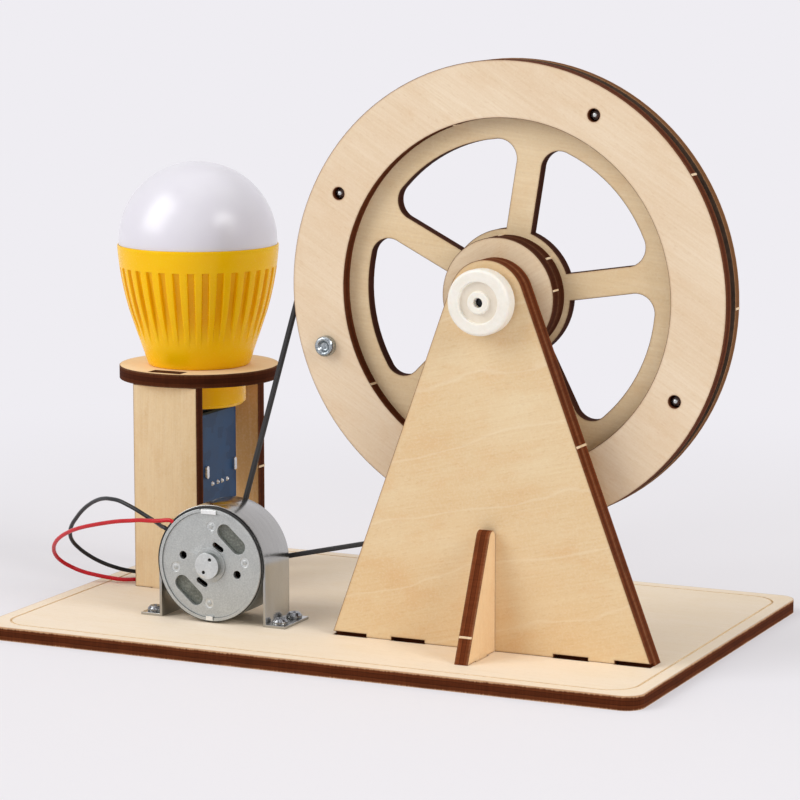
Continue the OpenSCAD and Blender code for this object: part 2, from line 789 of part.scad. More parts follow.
module motor_bracket() {
    color("#bfc2c3") difference() {
        upright(strap_y, strap_wide) translate([motor_x, 0]) {
            translate([0, motor_z]) difference() {
                circle(strap_outer);
                circle(strap_inner);
                translate([-2 * can_r, -2 * can_r]) square([4 * can_r, 2 * can_r]);
            }
            for (s = [-1, 1]) {
                translate([s * (strap_inner + strap / 2) - strap / 2, sheet])
                    square([strap, motor_z - sheet]);
                translate([s * foot_mid - foot_length / 2, sheet]) square([foot_length, strap]);
            }
        }
        at_feet() translate([0, 0, sheet - eps])
            cylinder(d = bracket_screw_d + 0.2, h = strap + 2 * eps);
    }
}

module at_feet() {
    for (s = [-1, 1], t = [-1, 1])
        translate([motor_x + s * foot_mid, strap_y + strap_wide / 2 + t * bracket_pitch / 2, 0])
            children();
}

module bracket_screws() {
    r = bracket_head_d / 2;
    shank = bracket_screw_d / 2 - 0.02;
    long = strap + sheet - 0.4;
    color("#b9bcc0") at_feet() translate([0, 0, sheet + strap]) difference() {
        rotate_extrude() polygon([[0, -long], [shank, -long], [shank, 0], [r, 0],
            [r, bracket_head * 0.5], [r - 0.5, bracket_head], [0, bracket_head]]);
        for (a = [30, 120]) rotate(a) translate([0, 0, bracket_head])
            cube([bracket_head_d * 0.55, 0.5, 0.8], center = true);
    }
}

module lamp_panel(y) {
    upright(y, sheet) translate([lamp_x, 0]) {
        translate([-panel_width / 2, sheet]) square([panel_width, panel_height]);
        translate([-panel_tab / 2, slot_gap])
            square([panel_tab, panel_height + 2 * sheet - 2 * slot_gap]);
    }
}

module lamp_front_panel() { color("#e6cca2") lamp_panel(front_panel_y); }

module lamp_rear_panel() { color("#e6cca2") lamp_panel(rear_panel_y); }

module lamp_plate() {
    color("#e9d3b0") translate([lamp_x, lamp_y, plate_z]) linear_extrude(sheet) difference() {
        circle(d = plate_d);
        circle(d = neck_d + 0.3);
        for (s = [-1, 1]) translate([0, s * (panel_gap / 2 + sheet / 2)])
            square([panel_tab + 2 * slot_gap, sheet + 2 * slot_gap], center = true);
    }
}

// Half profile of the lamp's shell: a cone up to the waist, then an arc up to the seam
module bowl() {
    foot = bulb_foot_d / 2;
    waist = [cone_d / 2, cone_high];
    chord = [bulb_r, shell_high] - waist;
    inward = [-chord[1], chord[0]] / norm(chord);
    middle = waist + chord / 2 + inward * sqrt(shell_arc * shell_arc - chord * chord / 4);
    intersection() {
        polygon([[0, 0], [foot, 0], [foot + (waist[0] - foot) * shell_high / cone_high, shell_high],
            [0, shell_high]]);
        union() {
            translate(middle) circle(shell_arc, $fn = 360);
            square([bulb_d, cone_high - 2]);
        }
    }
}

module bulb_shell() {
    foot = bulb_foot_d / 2;
    waist = cone_d / 2;
    pitch = 360 / groove_count;
    low_r = foot + (waist - foot) * groove_low / cone_high;
    top_r = bulb_r - 0.25;
    color("#f5bd1f") translate([lamp_x, lamp_y, lamp_z]) rotate(groove_start) difference() {
        union() {
            rotate_extrude() bowl();
            translate([0, 0, -neck_length]) rotate_extrude() polygon([[0, 0],
                [neck_d / 2 - neck_chamfer, 0], [neck_d / 2, neck_chamfer],
                [neck_d / 2, neck_length + eps], [0, neck_length + eps]]);
        }
        // Fluting: flat-floored grooves that run out at their lower ends
        for (i = [0:groove_count - 1]) rotate([90, 0, pitch * (i + 0.5)])
            linear_extrude(groove_wide, center = true) polygon([[low_r + 0.05, groove_low],
                [bulb_d, groove_low], [bulb_d, groove_top], [top_r - groove_cut, groove_top]]);
        // Hollow, with a seat for the LED board under the seam
        rotate_extrude() polygon([[0, shell_wall], [foot - shell_wall, shell_wall],
            [waist - shell_wall, cone_high], [bulb_r - shell_wall - 0.2, shell_high + eps],
            [0, shell_high + eps]]);
        translate([0, 0, shell_high - led_board_thick])
            cylinder(r = led_board_r + 0.1, h = led_board_thick + eps);
    }
}

led_board_r = bulb_r - dome_lip - dome_wall - 0.1;

module bulb_dome() {
    r = bulb_r - dome_lip;
    color("#f1eff3") translate([lamp_x, lamp_y, seam_z]) rotate_extrude() difference() {
        union() {
            square([r, dome_skirt]);
            translate([0, dome_skirt]) intersection() { circle(r, $fn = 180); square(r + 1); }
        }
        translate([-1, -eps]) square([r - dome_wall + 1, dome_skirt + eps]);
        translate([0, dome_skirt]) circle(r - dome_wall, $fn = 180);
    }
}

module led_board() {
    color("#e8e8e4") translate([lamp_x, lamp_y, seam_z - led_board_thick])
        cylinder(r = led_board_r, h = led_board_thick);
}

module led_chips() {
    color("#f2e6a8") translate([lamp_x, lamp_y, seam_z]) for (i = [0:5]) rotate(60 * i)
        translate([led_board_r * 0.6 - 1.4, -1.75, 0]) cube([2.8, 3.5, 0.7]);
}

module usb_plug() {
    color("#c9cccd") translate([lamp_x, lamp_y, neck_z - plug_length]) difference() {
        translate([-plug_thick / 2, -plug_wide / 2, 0]) cube([plug_thick, plug_wide, plug_length]);
        translate([-0.4, -plug_wide / 2 + 0.5, -eps])
            cube([plug_thick / 2, plug_wide - 1, 8 + eps]);
    }
}

module usb_socket() {
    deep = plug_length - socket_drop + plug_gap;
    color("#bfc2c3") translate([lamp_x, lamp_y, socket_z]) difference() {
        translate([-socket_thick / 2, -socket_wide / 2, 0])
            cube([socket_thick, socket_wide, socket_length]);
        translate([-plug_thick / 2 - plug_gap, -plug_wide / 2 - plug_gap, socket_length - deep])
            cube([plug_thick + 2 * plug_gap, plug_wide + 2 * plug_gap, deep + eps]);
    }
}

module boost_board() {
    color("#24507c") translate([board_x, lamp_y - board_wide / 2, board_z])
        cube([board_thick, board_wide, board_high]);
}

// Inductor and converter chip on the socket's side of the board
module boost_parts() {
    color("#3a3a3c") translate([board_x, lamp_y, board_z]) {
        translate([-2.4, board_wide / 2 - 5, 0.8]) cube([2.4, 4, 4]);
        translate([-1.1, -board_wide / 2 + 1, 1.2]) cube([1.1, 2.9, 3]);
    }
}

// Soldered ends of the socket's four contacts and two shell tabs
module solder_joints() {
    color("#cfd2d4") translate([board_x + board_thick, lamp_y, 0]) {
        for (y = [-3.5, -1, 1, 3.5]) translate([0, y, pin_z]) rotate([0, 90, 0])
            cylinder(r1 = 0.75, r2 = 0.35, h = 0.9);
        for (s = [-1, 1]) sideways(0, 0.7)
            translate([s * socket_wide / 2, shell_tab_z]) stadium([0, -0.9], [0, 0.9], 1.2);
    }
}

// A round tube along a list of points, as one closed polyhedron
wire_sides = 8;
function unit(v) = v / norm(v);
function lead(p, i) = unit(p[min(i + 1, len(p) - 1)] - p[max(i - 1, 0)]);
function across(v) = unit(cross(v, abs(v[2]) < 0.9 ? [0, 0, 1] : [1, 0, 0]));
function ring_points(p, i, r) = let (d = lead(p, i), u = across(d), w = cross(d, u))
    [for (k = [0:wire_sides - 1]) let (a = 360 * k / wire_sides)
        p[i] + r * (u * cos(a) + w * sin(a))];

module wire(p) {
    n = len(p);
    s = wire_sides;
    points = [for (i = [0:n - 1]) each ring_points(p, i, wire_d / 2)];
    sides = [for (i = [0:n - 2], k = [0:s - 1])
        each [[i * s + k, (i + 1) * s + k, i * s + (k + 1) % s],
            [i * s + (k + 1) % s, (i + 1) * s + k, (i + 1) * s + (k + 1) % s]]];
    polyhedron(points, concat(sides, [[for (k = [0:s - 1]) k]],
        [[for (k = [s - 1:-1:0]) (n - 1) * s + k]]));
}

module red_wire() { color("#c01722") wire(red_route); }

module black_wire() { color("#1d1d1f") wire(black_route); }

base_board();
wheel_stand();
front_gusset();
axle();
front_collar();
rear_collar();
wheel_front_ring();
spoked_disc();
wheel_back_ring();
hub_disc_front();
hub_disc_rear();
wheel_screws();
crank_bolt();
crank_knob();
crank_nut();
drive_belt();
motor_can();
motor_end_plate();
motor_magnets();
motor_brushes();
motor_front_bearing();
motor_rear_bearing();
motor_terminals();
motor_shaft();
armature_core();
armature_winding();
commutator();
motor_pulley();
motor_bracket();
bracket_screws();
lamp_front_panel();
lamp_rear_panel();
lamp_plate();
bulb_shell();
bulb_dome();
led_board();
led_chips();
usb_plug();
usb_socket();
boost_board();
boost_parts();
solder_joints();
red_wire();
black_wire();
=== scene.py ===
import json
import math

import bmesh
import bpy
from mathutils import Matrix, Vector


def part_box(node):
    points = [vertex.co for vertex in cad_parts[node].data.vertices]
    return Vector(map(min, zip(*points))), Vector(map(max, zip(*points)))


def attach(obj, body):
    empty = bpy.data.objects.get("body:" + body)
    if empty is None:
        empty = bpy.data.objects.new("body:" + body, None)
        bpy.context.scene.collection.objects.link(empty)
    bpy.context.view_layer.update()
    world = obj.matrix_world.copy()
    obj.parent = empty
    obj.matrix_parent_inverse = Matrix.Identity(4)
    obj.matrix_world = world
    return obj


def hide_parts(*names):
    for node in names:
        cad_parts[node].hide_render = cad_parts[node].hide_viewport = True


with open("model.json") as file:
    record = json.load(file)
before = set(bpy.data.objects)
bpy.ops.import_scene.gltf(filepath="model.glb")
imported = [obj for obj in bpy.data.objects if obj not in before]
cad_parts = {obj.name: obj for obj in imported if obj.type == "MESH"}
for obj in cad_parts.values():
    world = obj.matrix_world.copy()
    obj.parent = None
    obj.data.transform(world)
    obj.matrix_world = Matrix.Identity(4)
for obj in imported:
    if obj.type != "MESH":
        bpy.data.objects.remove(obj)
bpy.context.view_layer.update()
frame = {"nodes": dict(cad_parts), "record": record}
nodes = frame["nodes"]
behaviour = frame["record"]["behaviour"]
bodyOf = {node: body for body, names in behaviour["bodies"].items() for node in names}
scene = bpy.context.scene
mm = 0.001

# Camera: a long lens in front and to the right of the base, a little above the wheel
photoCamera = {
    "place": (289.99, -620.49, 157.48),  # mm
    "azimuth": 24.986,
    "elevation": 8.974,
    "lens": 144.92,  # mm on the sensor's width
    "sensor": 36,
    "nearest": 0.02,  # m
}
camera = bpy.data.objects.new("photoCamera", bpy.data.cameras.new("photoCamera"))
scene.collection.objects.link(camera)
camera.data.sensor_width = photoCamera["sensor"]
camera.data.lens = photoCamera["lens"]
camera.data.clip_start = photoCamera["nearest"]
camera.location = Vector(photoCamera["place"]) * mm
camera.rotation_euler = (math.radians(90 - photoCamera["elevation"]), 0,
                         math.radians(photoCamera["azimuth"]))
scene.camera = camera
print("camera set")


# A colour written as sRGB hex, in Blender's linear values
def linear(code):
    values = [int(code[i:i + 2], 16) / 255 for i in (1, 3, 5)]
    return [v / 12.92 if v <= 0.04045 else ((v + 0.055) / 1.055) ** 2.4 for v in values] + [1]


# Adds one node: sockets get a value or a link, stops fill a colour ramp
def put(tree, kind, sockets=None, stops=None, **settings):
    node = tree.nodes.new(kind)
    for name, value in settings.items():
        setattr(node, name, value)
    for key, value in (sockets or {}).items():
        if isinstance(value, bpy.types.NodeSocket):
            tree.links.new(value, node.inputs[key])
        else:
            node.inputs[key].default_value = value
    if stops:
        ends = node.color_ramp.elements
        ends[0].position, ends[1].position = stops[0][0], stops[-1][0]
        ends[0].color, ends[1].color = linear(stops[0][1]), linear(stops[-1][1])
        for place, code in stops[1:-1]:
            ends.new(place).color = linear(code)
    return node


def startMaterial(name):
    material = bpy.data.materials.new(name)
    material.use_nodes = True
    material.node_tree.nodes.clear()
    return material, material.node_tree


# Two tones in a soft grain, with roughness and a little relief from the same grain. grain is the size of a
# speck in mm, stretch draws it out along an axis, cloud is the share of the broad patches, which are about
# eight specks wide, and extra goes on the shader's sockets.
def speckled(name, tones, grain, roughness, relief=0.0, stretch=(1, 1, 1), metallic=0.0, cloud=0.5,
             extra=None):
    material, tree = startMaterial(name)
    spot = put(tree, "ShaderNodeTexCoord").outputs["Object"]
    perMetre = [1 / (mm * s) for s in stretch]
    scaled = put(tree, "ShaderNodeMapping", {"Vector": spot, "Scale": perMetre}).outputs[0]
    fine = put(tree, "ShaderNodeTexNoise", {"Vector": scaled, "Scale": 1 / grain, "Detail": 3.0}).outputs[0]
    broad = put(tree, "ShaderNodeTexNoise", {"Vector": scaled, "Scale": 0.12 / grain,
                                             "Detail": 2.0}).outputs[0]
    both = put(tree, "ShaderNodeMix", {0: cloud, 2: fine, 3: broad}).outputs[0]
    share = put(tree, "ShaderNodeMapRange", {"Value": both, "From Min": 0.35, "From Max": 0.65}).outputs[0]
    colour = put(tree, "ShaderNodeMix", {0: share, 6: linear(tones[0]), 7: linear(tones[1])},
                 data_type="RGBA").outputs[2]
    rough = put(tree, "ShaderNodeMapRange", {"Value": both, "From Min": 0.3, "From Max": 0.7,
                                             "To Min": roughness[0], "To Max": roughness[1]}).outputs[0]
    shader = {"Base Color": colour, "Roughness": rough, "Metallic": metallic}
    if relief:
        bump = put(tree, "ShaderNodeBump", {"Height": fine, "Strength": 1.0, "Distance": relief * mm})
        shader["Normal"] = bump.outputs[0]
    surface = put(tree, "ShaderNodeBsdfPrincipled", {**shader, **(extra or {})})
    put(tree, "ShaderNodeOutputMaterial", {"Surface": surface.outputs[0]})
    return material


# PVC sleeve, extruded: smooth and glossy, with a faint unevenness along the wire
redSleeve = speckled("redPvcExtruded", ("#B90A17", "#CE1423"), 2.5, (0.20, 0.28), 0.004,
                     extra={"Specular IOR Level": 0.32})
blackSleeve = speckled("blackPvcExtruded", ("#161718", "#242527"), 2.5, (0.26, 0.34), 0.004,
                       extra={"Specular IOR Level": 0.32})

# Wires: each route runs from a motor terminal, out over the side of the base and in between the lamp panels
wires = {
    "red": {
        "node": "red_wire", "finish": redSleeve, "diameter": 0.92, "length": 99.6,  # mm
        "route": [
            (-39.81, -27.5, 24.11), (-40.55, -27.5, 24.42), (-41.6, -27.45, 24.4), (-43.2, -27.3, 24.15),
            (-45.8, -26.8, 23.8), (-49, -25.8, 23.5), (-52, -25, 23), (-55.5, -24, 22.4), (-59, -22.9, 21.6),
            (-62.5, -21.8, 20.7), (-66, -20.6, 19.7), (-69.2, -19.2, 18.6), (-72.2, -17.6, 17.3),
            (-75, -15.9, 15.8), (-77.4, -14, 14.1), (-79.2, -11.9, 12.2), (-80.2, -9.6, 10.2),
            (-80.2, -7.2, 8.3), (-78.9, -5.2, 6.7), (-76.6, -3.6, 5.4), (-73.8, -2.3, 4.6), (-71, -1.4, 4.1),
            (-68.2, -0.7, 3.8), (-65.8, 0.4, 3.8), (-64, 2.4, 3.8), (-62.2, 4.6, 4.2), (-60.2, 7, 5.4),
            (-58.2, 9.2, 7.4), (-56.8, 10.8, 10), (-56, 11.8, 13), (-55.6, 12.2, 16), (-55.3, 12.4, 19),
            (-54.6, 12.4, 21.2), (-53.6, 12.4, 21.8), (-52.4, 12.4, 21.8)],
    },
    "black": {
        "node": "black_wire", "finish": blackSleeve, "diameter": 0.92, "length": 97.2,  # mm
        "route": [
            (-41.27, -27.5, 22.27), (-41.99, -27.5, 22.73), (-43, -26.9, 22.8), (-44.2, -26, 23),
            (-46.3, -25, 23.6), (-48.1, -24.7, 24.3), (-50.9, -24.4, 25.5), (-53.3, -24, 26.3),
            (-55.6, -23.3, 26.8), (-58.2, -22.2, 26.8), (-61, -20.6, 26.4), (-64, -18.7, 25.4),
            (-67, -16.8, 23.9), (-69.9, -14.9, 22), (-72.6, -12.9, 19.8), (-75, -10.9, 17.6),
            (-76.8, -8.7, 15.4), (-77.8, -6.3, 13.1), (-77.6, -3.8, 10.9), (-76.6, -1.4, 8.9),
            (-74.8, 0.8, 7.1), (-72.4, 2.8, 5.7), (-69.8, 4.8, 4.7), (-67, 6.8, 4.2), (-64.2, 8.9, 4.4),
            (-61.6, 11, 5.4), (-59.4, 12.9, 7.4), (-57.6, 14.4, 10), (-56.4, 15.2, 13), (-55.6, 15.6, 16),
            (-55.3, 15.6, 19), (-54.6, 15.6, 21.2), (-53.6, 15.6, 21.8), (-52.4, 15.6, 21.8)],
    },
}
for colour, look in wires.items():
    curve = bpy.data.curves.new(colour + "Wire", "CURVE")
    curve.dimensions = "3D"
    curve.resolution_u = 6
    curve.bevel_depth = look["diameter"] / 2 * mm
    curve.bevel_resolution = 5
    curve.use_fill_caps = True
    spline = curve.splines.new("BEZIER")
    spline.bezier_points.add(len(look["route"]) - 1)
    for point, place in zip(spline.bezier_points, look["route"]):
        point.co = Vector(place) * mm
        point.handle_left_type = point.handle_right_type = "AUTO"
    curve.materials.append(look["finish"])
    wire = bpy.data.objects.new(colour + "Wire", curve)
    scene.collection.objects.link(wire)
    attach(wire, bodyOf[look["node"]])
    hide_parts(look["node"])
print("wires laid")


# A node's name as a piece's name: wheel_stand becomes wheelStand
def titleOf(name):
    words = "".join(word.capitalize() for word in name.split("_"))
    return words[0].lower() + words[1:]


# A joint's place in mm
def jointSpot(name):
    return Vector(next(j["pos_m"] for j in behaviour["joints"] if j["name"] == name)) / mm


axleSpot = jointSpot("wheel_spin")
motorSpot = jointSpot("rotor_spin")


# A copy of a CAD node, merged, with its flat sides in one piece each
def copyNode(name):
    bm = bmesh.new()
    bm.from_mesh(nodes[name].data)
    bmesh.ops.remove_doubles(bm, verts=bm.verts, dist=0.001 * mm)
    bmesh.ops.dissolve_limit(bm, angle_limit=math.radians(0.2), verts=bm.verts, edges=bm.edges)
    return bm


# Edges where the surface turns by more than so many degrees
def sharpEdges(bm, degrees):
    return [e for e in bm.edges if e.calc_face_angle(0) > math.radians(degrees)]


def bevelEdges(bm, edges, width, segments):
    bmesh.ops.bevel(bm, geom=edges, offset=width * mm, offset_type="OFFSET", affect="EDGES",
                    segments=segments, profile=0.5, material=-1, clamp_overlap=True)


# Turns a bmesh into a piece that rides on a body and may stand for a CAD node
def keepPiece(name, bm, materials, body, node=None, smooth=30):
    level, corner = 0.01, 0.14  # radians: less is one flat side, more is a real corner
    mesh = bpy.data.meshes.new(name)
    for edge in bm.edges:
        edge.smooth = edge.calc_face_angle(0) < math.radians(smooth)
    for face in bm.faces:
        face.smooth = True
        bends = [e.calc_face_angle(0) for e in face.edges]
        # A flat side of more than 1 mm2 stays flat
        if face.calc_area() > mm * mm and all(b < level or b > corner for b in bends):
            for edge, bend in zip(face.edges, bends):
                edge.smooth = edge.smooth and bend < corner
    bm.to_mesh(mesh)
    bm.free()
    if "custom_normal" in mesh.attributes:
        mesh.attributes.remove(mesh.attributes["custom_normal"])
    for material in materials:
        mesh.materials.append(material)
    piece = bpy.data.objects.new(name, mesh)
    scene.collection.objects.link(piece)
    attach(piece, body)
    if node:
        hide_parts(node)
    return piece


# The veneer's patterns: how many per mm along and across the grain, and how much detail
grainLook = {
    "fibre": ((0.07, 2.2, 2.2), 4.0),  # 14 by 0.45 mm
    "cloud": ((0.03, 0.09, 0.09), 3.0),  # 33 by 11 mm
    "blotch": ((0.13, 0.24, 0.24), 3.0),  # 8 by 4 mm
    "fleck": ((0.7, 3.0, 3.0), 1.0),  # 1.4 by 0.33 mm
    "dust": ((2.4, 2.4, 2.4), 2.0),  # 0.4 mm
}
grainTint = {"fleck": "#BE9059", "dust": "#FBF1DF", "line": "#F6E8D0", "smoke": "#8A5B36", "smokeShare": 0.45,
             "lineReach": 0.4}  # mm


# Basswood veneer, sanded and left bare: pale and even, with hair-fine fibres, short flecks, faint tan
# blotches and now and then a thin light growth line. turn lays the grain along the pattern's X, and the
# attribute "singe" browns the face beside each cut.
def veneer(name, look):
    material, tree = startMaterial(name)
    spot = put(tree, "ShaderNodeTexCoord").outputs["Object"]
    grain = put(tree, "ShaderNodeMapping", {
        "Vector": spot, "Scale": (1 / mm,) * 3, "Location": look["shift"],
        "Rotation": [math.radians(a) for a in look["turn"]]}).outputs[0]
    noises = {}
    for kind, (perMm, detail) in grainLook.items():
        space = put(tree, "ShaderNodeMapping", {"Vector": grain, "Scale": perMm}).outputs[0]
        noises[kind] = put(tree, "ShaderNodeTexNoise", {"Vector": space, "Scale": 1.0,
                                                        "Detail": detail}).outputs[0]
    tone = put(tree, "ShaderNodeMapRange", {"Value": noises["cloud"], "From Min": 0.32,
                                            "From Max": 0.68}).outputs[0]
    colour = put(tree, "ShaderNodeMix", {0: tone, 6: linear(look["tones"][0]), 7: linear(look["tones"][1])},
                 data_type="RGBA").outputs[2]
    # Each pattern shows from a low to a high value of its noise, up to a share of its own colour
    for kind, low, high, most, code in (("blotch", 0.52, 0.74, 0.30, look["blotch"]),
                                        ("fibre", 0.34, 0.7, look["fibreShare"], look["fibre"]),
                                        ("fleck", 0.60, 0.76, 0.15, grainTint["fleck"]),
                                        ("dust", 0.45, 0.75, 0.14, grainTint["dust"])):
        share = put(tree, "ShaderNodeMapRange", {"Value": noises[kind], "From Min": low, "From Max": high,
                                                 "To Max": most}).outputs[0]
        colour = put(tree, "ShaderNodeMix", {0: share, 6: colour, 7: linear(code)},
                     data_type="RGBA").outputs[2]
    # Growth lines: thin contours across the grain that wander with the clouds
    across = put(tree, "ShaderNodeSeparateXYZ", {"Vector": grain}).outputs[look["across"]]
    count = put(tree, "ShaderNodeMath", {0: across, 1: 1 / look["lines"]}, operation="MULTIPLY").outputs[0]
    bent = put(tree, "ShaderNodeMath", {0: noises["cloud"], 1: look["wander"], 2: count},
               operation="MULTIPLY_ADD").outputs[0]
    gap = put(tree, "ShaderNodeMath", {0: bent, 1: 0.5}, operation="PINGPONG").outputs[0]
    lineShare = put(tree, "ShaderNodeMapRange", {
        "Value": gap, "From Min": 0.0, "From Max": grainTint["lineReach"] / look["lines"],
        "To Min": look["lineShare"], "To Max": 0.0}).outputs[0]
    lined = put(tree, "ShaderNodeMix", {0: lineShare, 6: colour, 7: linear(grainTint["line"])},
                data_type="RGBA").outputs[2]
    singe = put(tree, "ShaderNodeAttribute", attribute_name="singe").outputs["Fac"]
    smoke = put(tree, "ShaderNodeMath", {0: singe, 1: 2.6}, operation="POWER").outputs[0]
    smokeShare = put(tree, "ShaderNodeMath", {0: smoke, 1: grainTint["smokeShare"]},
                     operation="MULTIPLY").outputs[0]
    browned = put(tree, "ShaderNodeMix", {0: smokeShare, 6: lined, 7: linear(grainTint["smoke"])},
                  data_type="RGBA").outputs[2]
    rough = put(tree, "ShaderNodeMapRange", {"Value": noises["fibre"], "To Min": 0.52,
                                             "To Max": 0.70}).outputs[0]
    bump = put(tree, "ShaderNodeBump", {"Height": noises["fibre"], "Strength": 0.6,
                                        "Distance": 0.03 * mm}).outputs[0]
    surface = put(tree, "ShaderNodeBsdfPrincipled", {
        "Base Color": browned, "Roughness": rough, "Normal": bump, "IOR": 1.45, "Specular IOR Level": 0.2})
    put(tree, "ShaderNodeOutputMaterial", {"Surface": surface.outputs[0]})
    return material


# The cut edge across one sheet: three plies, thin dark glue lines and a paler line where each veneer begins
charLook = {
    "plies": [(0.0, "#6A3A22"), (0.06, "#7E4C30"), (0.11, "#7A4327"), (0.17, "#763D21"), (0.31, "#7A4023"),
              (0.345, "#4C2412"), (0.39, "#653118"), (0.62, "#67321A"), (0.655, "#482211"), (0.69, "#783F22"),
              (0.83, "#763D21"), (0.89, "#7A4429"), (0.95, "#8A5636"), (1.0, "#6C3C25")],
    "streak": (2.4, 0.2, 2.0), "patch": (0.16, 0.9, 3.0),  # per mm along and through the sheet, detail
    "patchTone": "#42200F", "fuzzTone": "#CDA27C", "fuzzMiddle": 0.47, "fuzzTear": 0.16,
}


# Plywood cut by laser: smooth red-brown char with dark patches and faint streaks straight through the sheet.
# look gives how much soot lies on it and in which tone, and how much pale torn fuzz shows along both faces.
# The attribute "ply" counts sheets across the thickness.
def charredEdge(name, axis, look):
    material, tree = startMaterial(name)
    spot = put(tree, "ShaderNodeTexCoord").outputs["Object"]
    noises = {}
    for kind in ("streak", "patch"):
        along, through, detail = charLook[kind]
        scale = [along / mm] * 3
        scale[axis] = through / mm
        space = put(tree, "ShaderNodeMapping", {"Vector": spot, "Scale": scale}).outputs[0]
        noises[kind] = put(tree, "ShaderNodeTexNoise", {"Vector": space, "Scale": 1.0,
                                                        "Detail": detail}).outputs[0]
    count = put(tree, "ShaderNodeAttribute", attribute_name="ply").outputs["Fac"]
    ply = put(tree, "ShaderNodeMath", {0: count}, operation="FRACT").outputs[0]
    waver = put(tree, "ShaderNodeMapRange", {"Value": noises["patch"], "To Min": -0.05,
                                             "To Max": 0.05}).outputs[0]
    wavy = put(tree, "ShaderNodeMath", {0: ply, 1: waver}, operation="ADD").outputs[0]
    plies = put(tree, "ShaderNodeValToRGB", {"Fac": wavy}, stops=charLook["plies"]).outputs[0]
    shade = put(tree, "ShaderNodeMapRange", {"Value": noises["streak"], "From Min": 0.3, "From Max": 0.7,
                                             "To Min": 0.86, "To Max": 1.10}).outputs[0]
    streaked = put(tree, "ShaderNodeMix", {0: 1.0, 6: plies, 7: shade}, data_type="RGBA",
                   blend_type="MULTIPLY").outputs[2]
    darker = put(tree, "ShaderNodeMapRange", {"Value": noises["patch"], "From Min": 0.45, "From Max": 0.75,
                                              "To Max": 0.45}).outputs[0]
    patched = put(tree, "ShaderNodeMix", {0: darker, 6: streaked, 7: linear(charLook["patchTone"])},
                  data_type="RGBA").outputs[2]
    sooted = put(tree, "ShaderNodeMix", {0: look["soot"], 6: patched, 7: linear(look["sootTone"])},
                 data_type="RGBA").outputs[2]
    # Fuzz: where the ply count is far from the middle of the sheet, with a torn border
    off = put(tree, "ShaderNodeMath", {0: wavy, 1: charLook["fuzzMiddle"]}, operation="SUBTRACT").outputs[0]
    far = put(tree, "ShaderNodeMath", {0: off}, operation="ABSOLUTE").outputs[0]
    torn = put(tree, "ShaderNodeMath", {0: noises["streak"], 1: charLook["fuzzTear"], 2: far},
               operation="MULTIPLY_ADD").outputs[0]
    fuzzShare = put(tree, "ShaderNodeMapRange", {"Value": torn, "From Min": 0.46, "From Max": 0.55,
                                                 "To Max": look["fuzz"]}).outputs[0]
    fuzzy = put(tree, "ShaderNodeMix", {0: fuzzShare, 6: sooted, 7: linear(charLook["fuzzTone"])},
                data_type="RGBA").outputs[2]
    bump = put(tree, "ShaderNodeBump", {"Height": noises["streak"], "Strength": 0.5,
                                        "Distance": 0.03 * mm}).outputs[0]
    surface = put(tree, "ShaderNodeBsdfPrincipled", {"Base Color": fuzzy, "Roughness": 0.72, "Normal": bump,
                                                     "Specular IOR Level": 0.03})
    put(tree, "ShaderNodeOutputMaterial", {"Surface": surface.outputs[0]})
    return material


# Bare wood, torn where a holding tab was snapped: pale and fibrous
snappedTab = speckled("snappedBasswood", ("#D8B68A", "#EFDABA"), 0.3, (0.6, 0.75), 0.02)
# Sides of the belt groove, painted dark as the shade deep in the groove
beltGrooveShade = speckled("beltGrimedBasswood", ("#3A2A1F", "#5A4534"), 1.2, (0.6, 0.75), 0.01)
# Shallow laser engraving: lightly toasted wood at the bottom of the line
engraved = speckled("engravedBasswood", ("#E3C9A2", "#EFDABA"), 0.5, (0.6, 0.7), 0.01)


# A holding tab is a place in mm on the cut wall and the direction that the wall runs in there.
# This one is on a round wall about the axle, at an angle in degrees.
def rimTab(depth, radius, angle):
    a = math.radians(angle)
    place = (axleSpot.x + radius * math.cos(a), depth, axleSpot.z + radius * math.sin(a))
    return place, (-math.sin(a), 0, math.cos(a))


# The finishes of a panel's faces, in the order of its material slots. easedFace marks the eased edges until
# the panel is done.
veneerFace, charFace, tabFace, engravedFace, grooveShadeFace, easedFace = range(6)
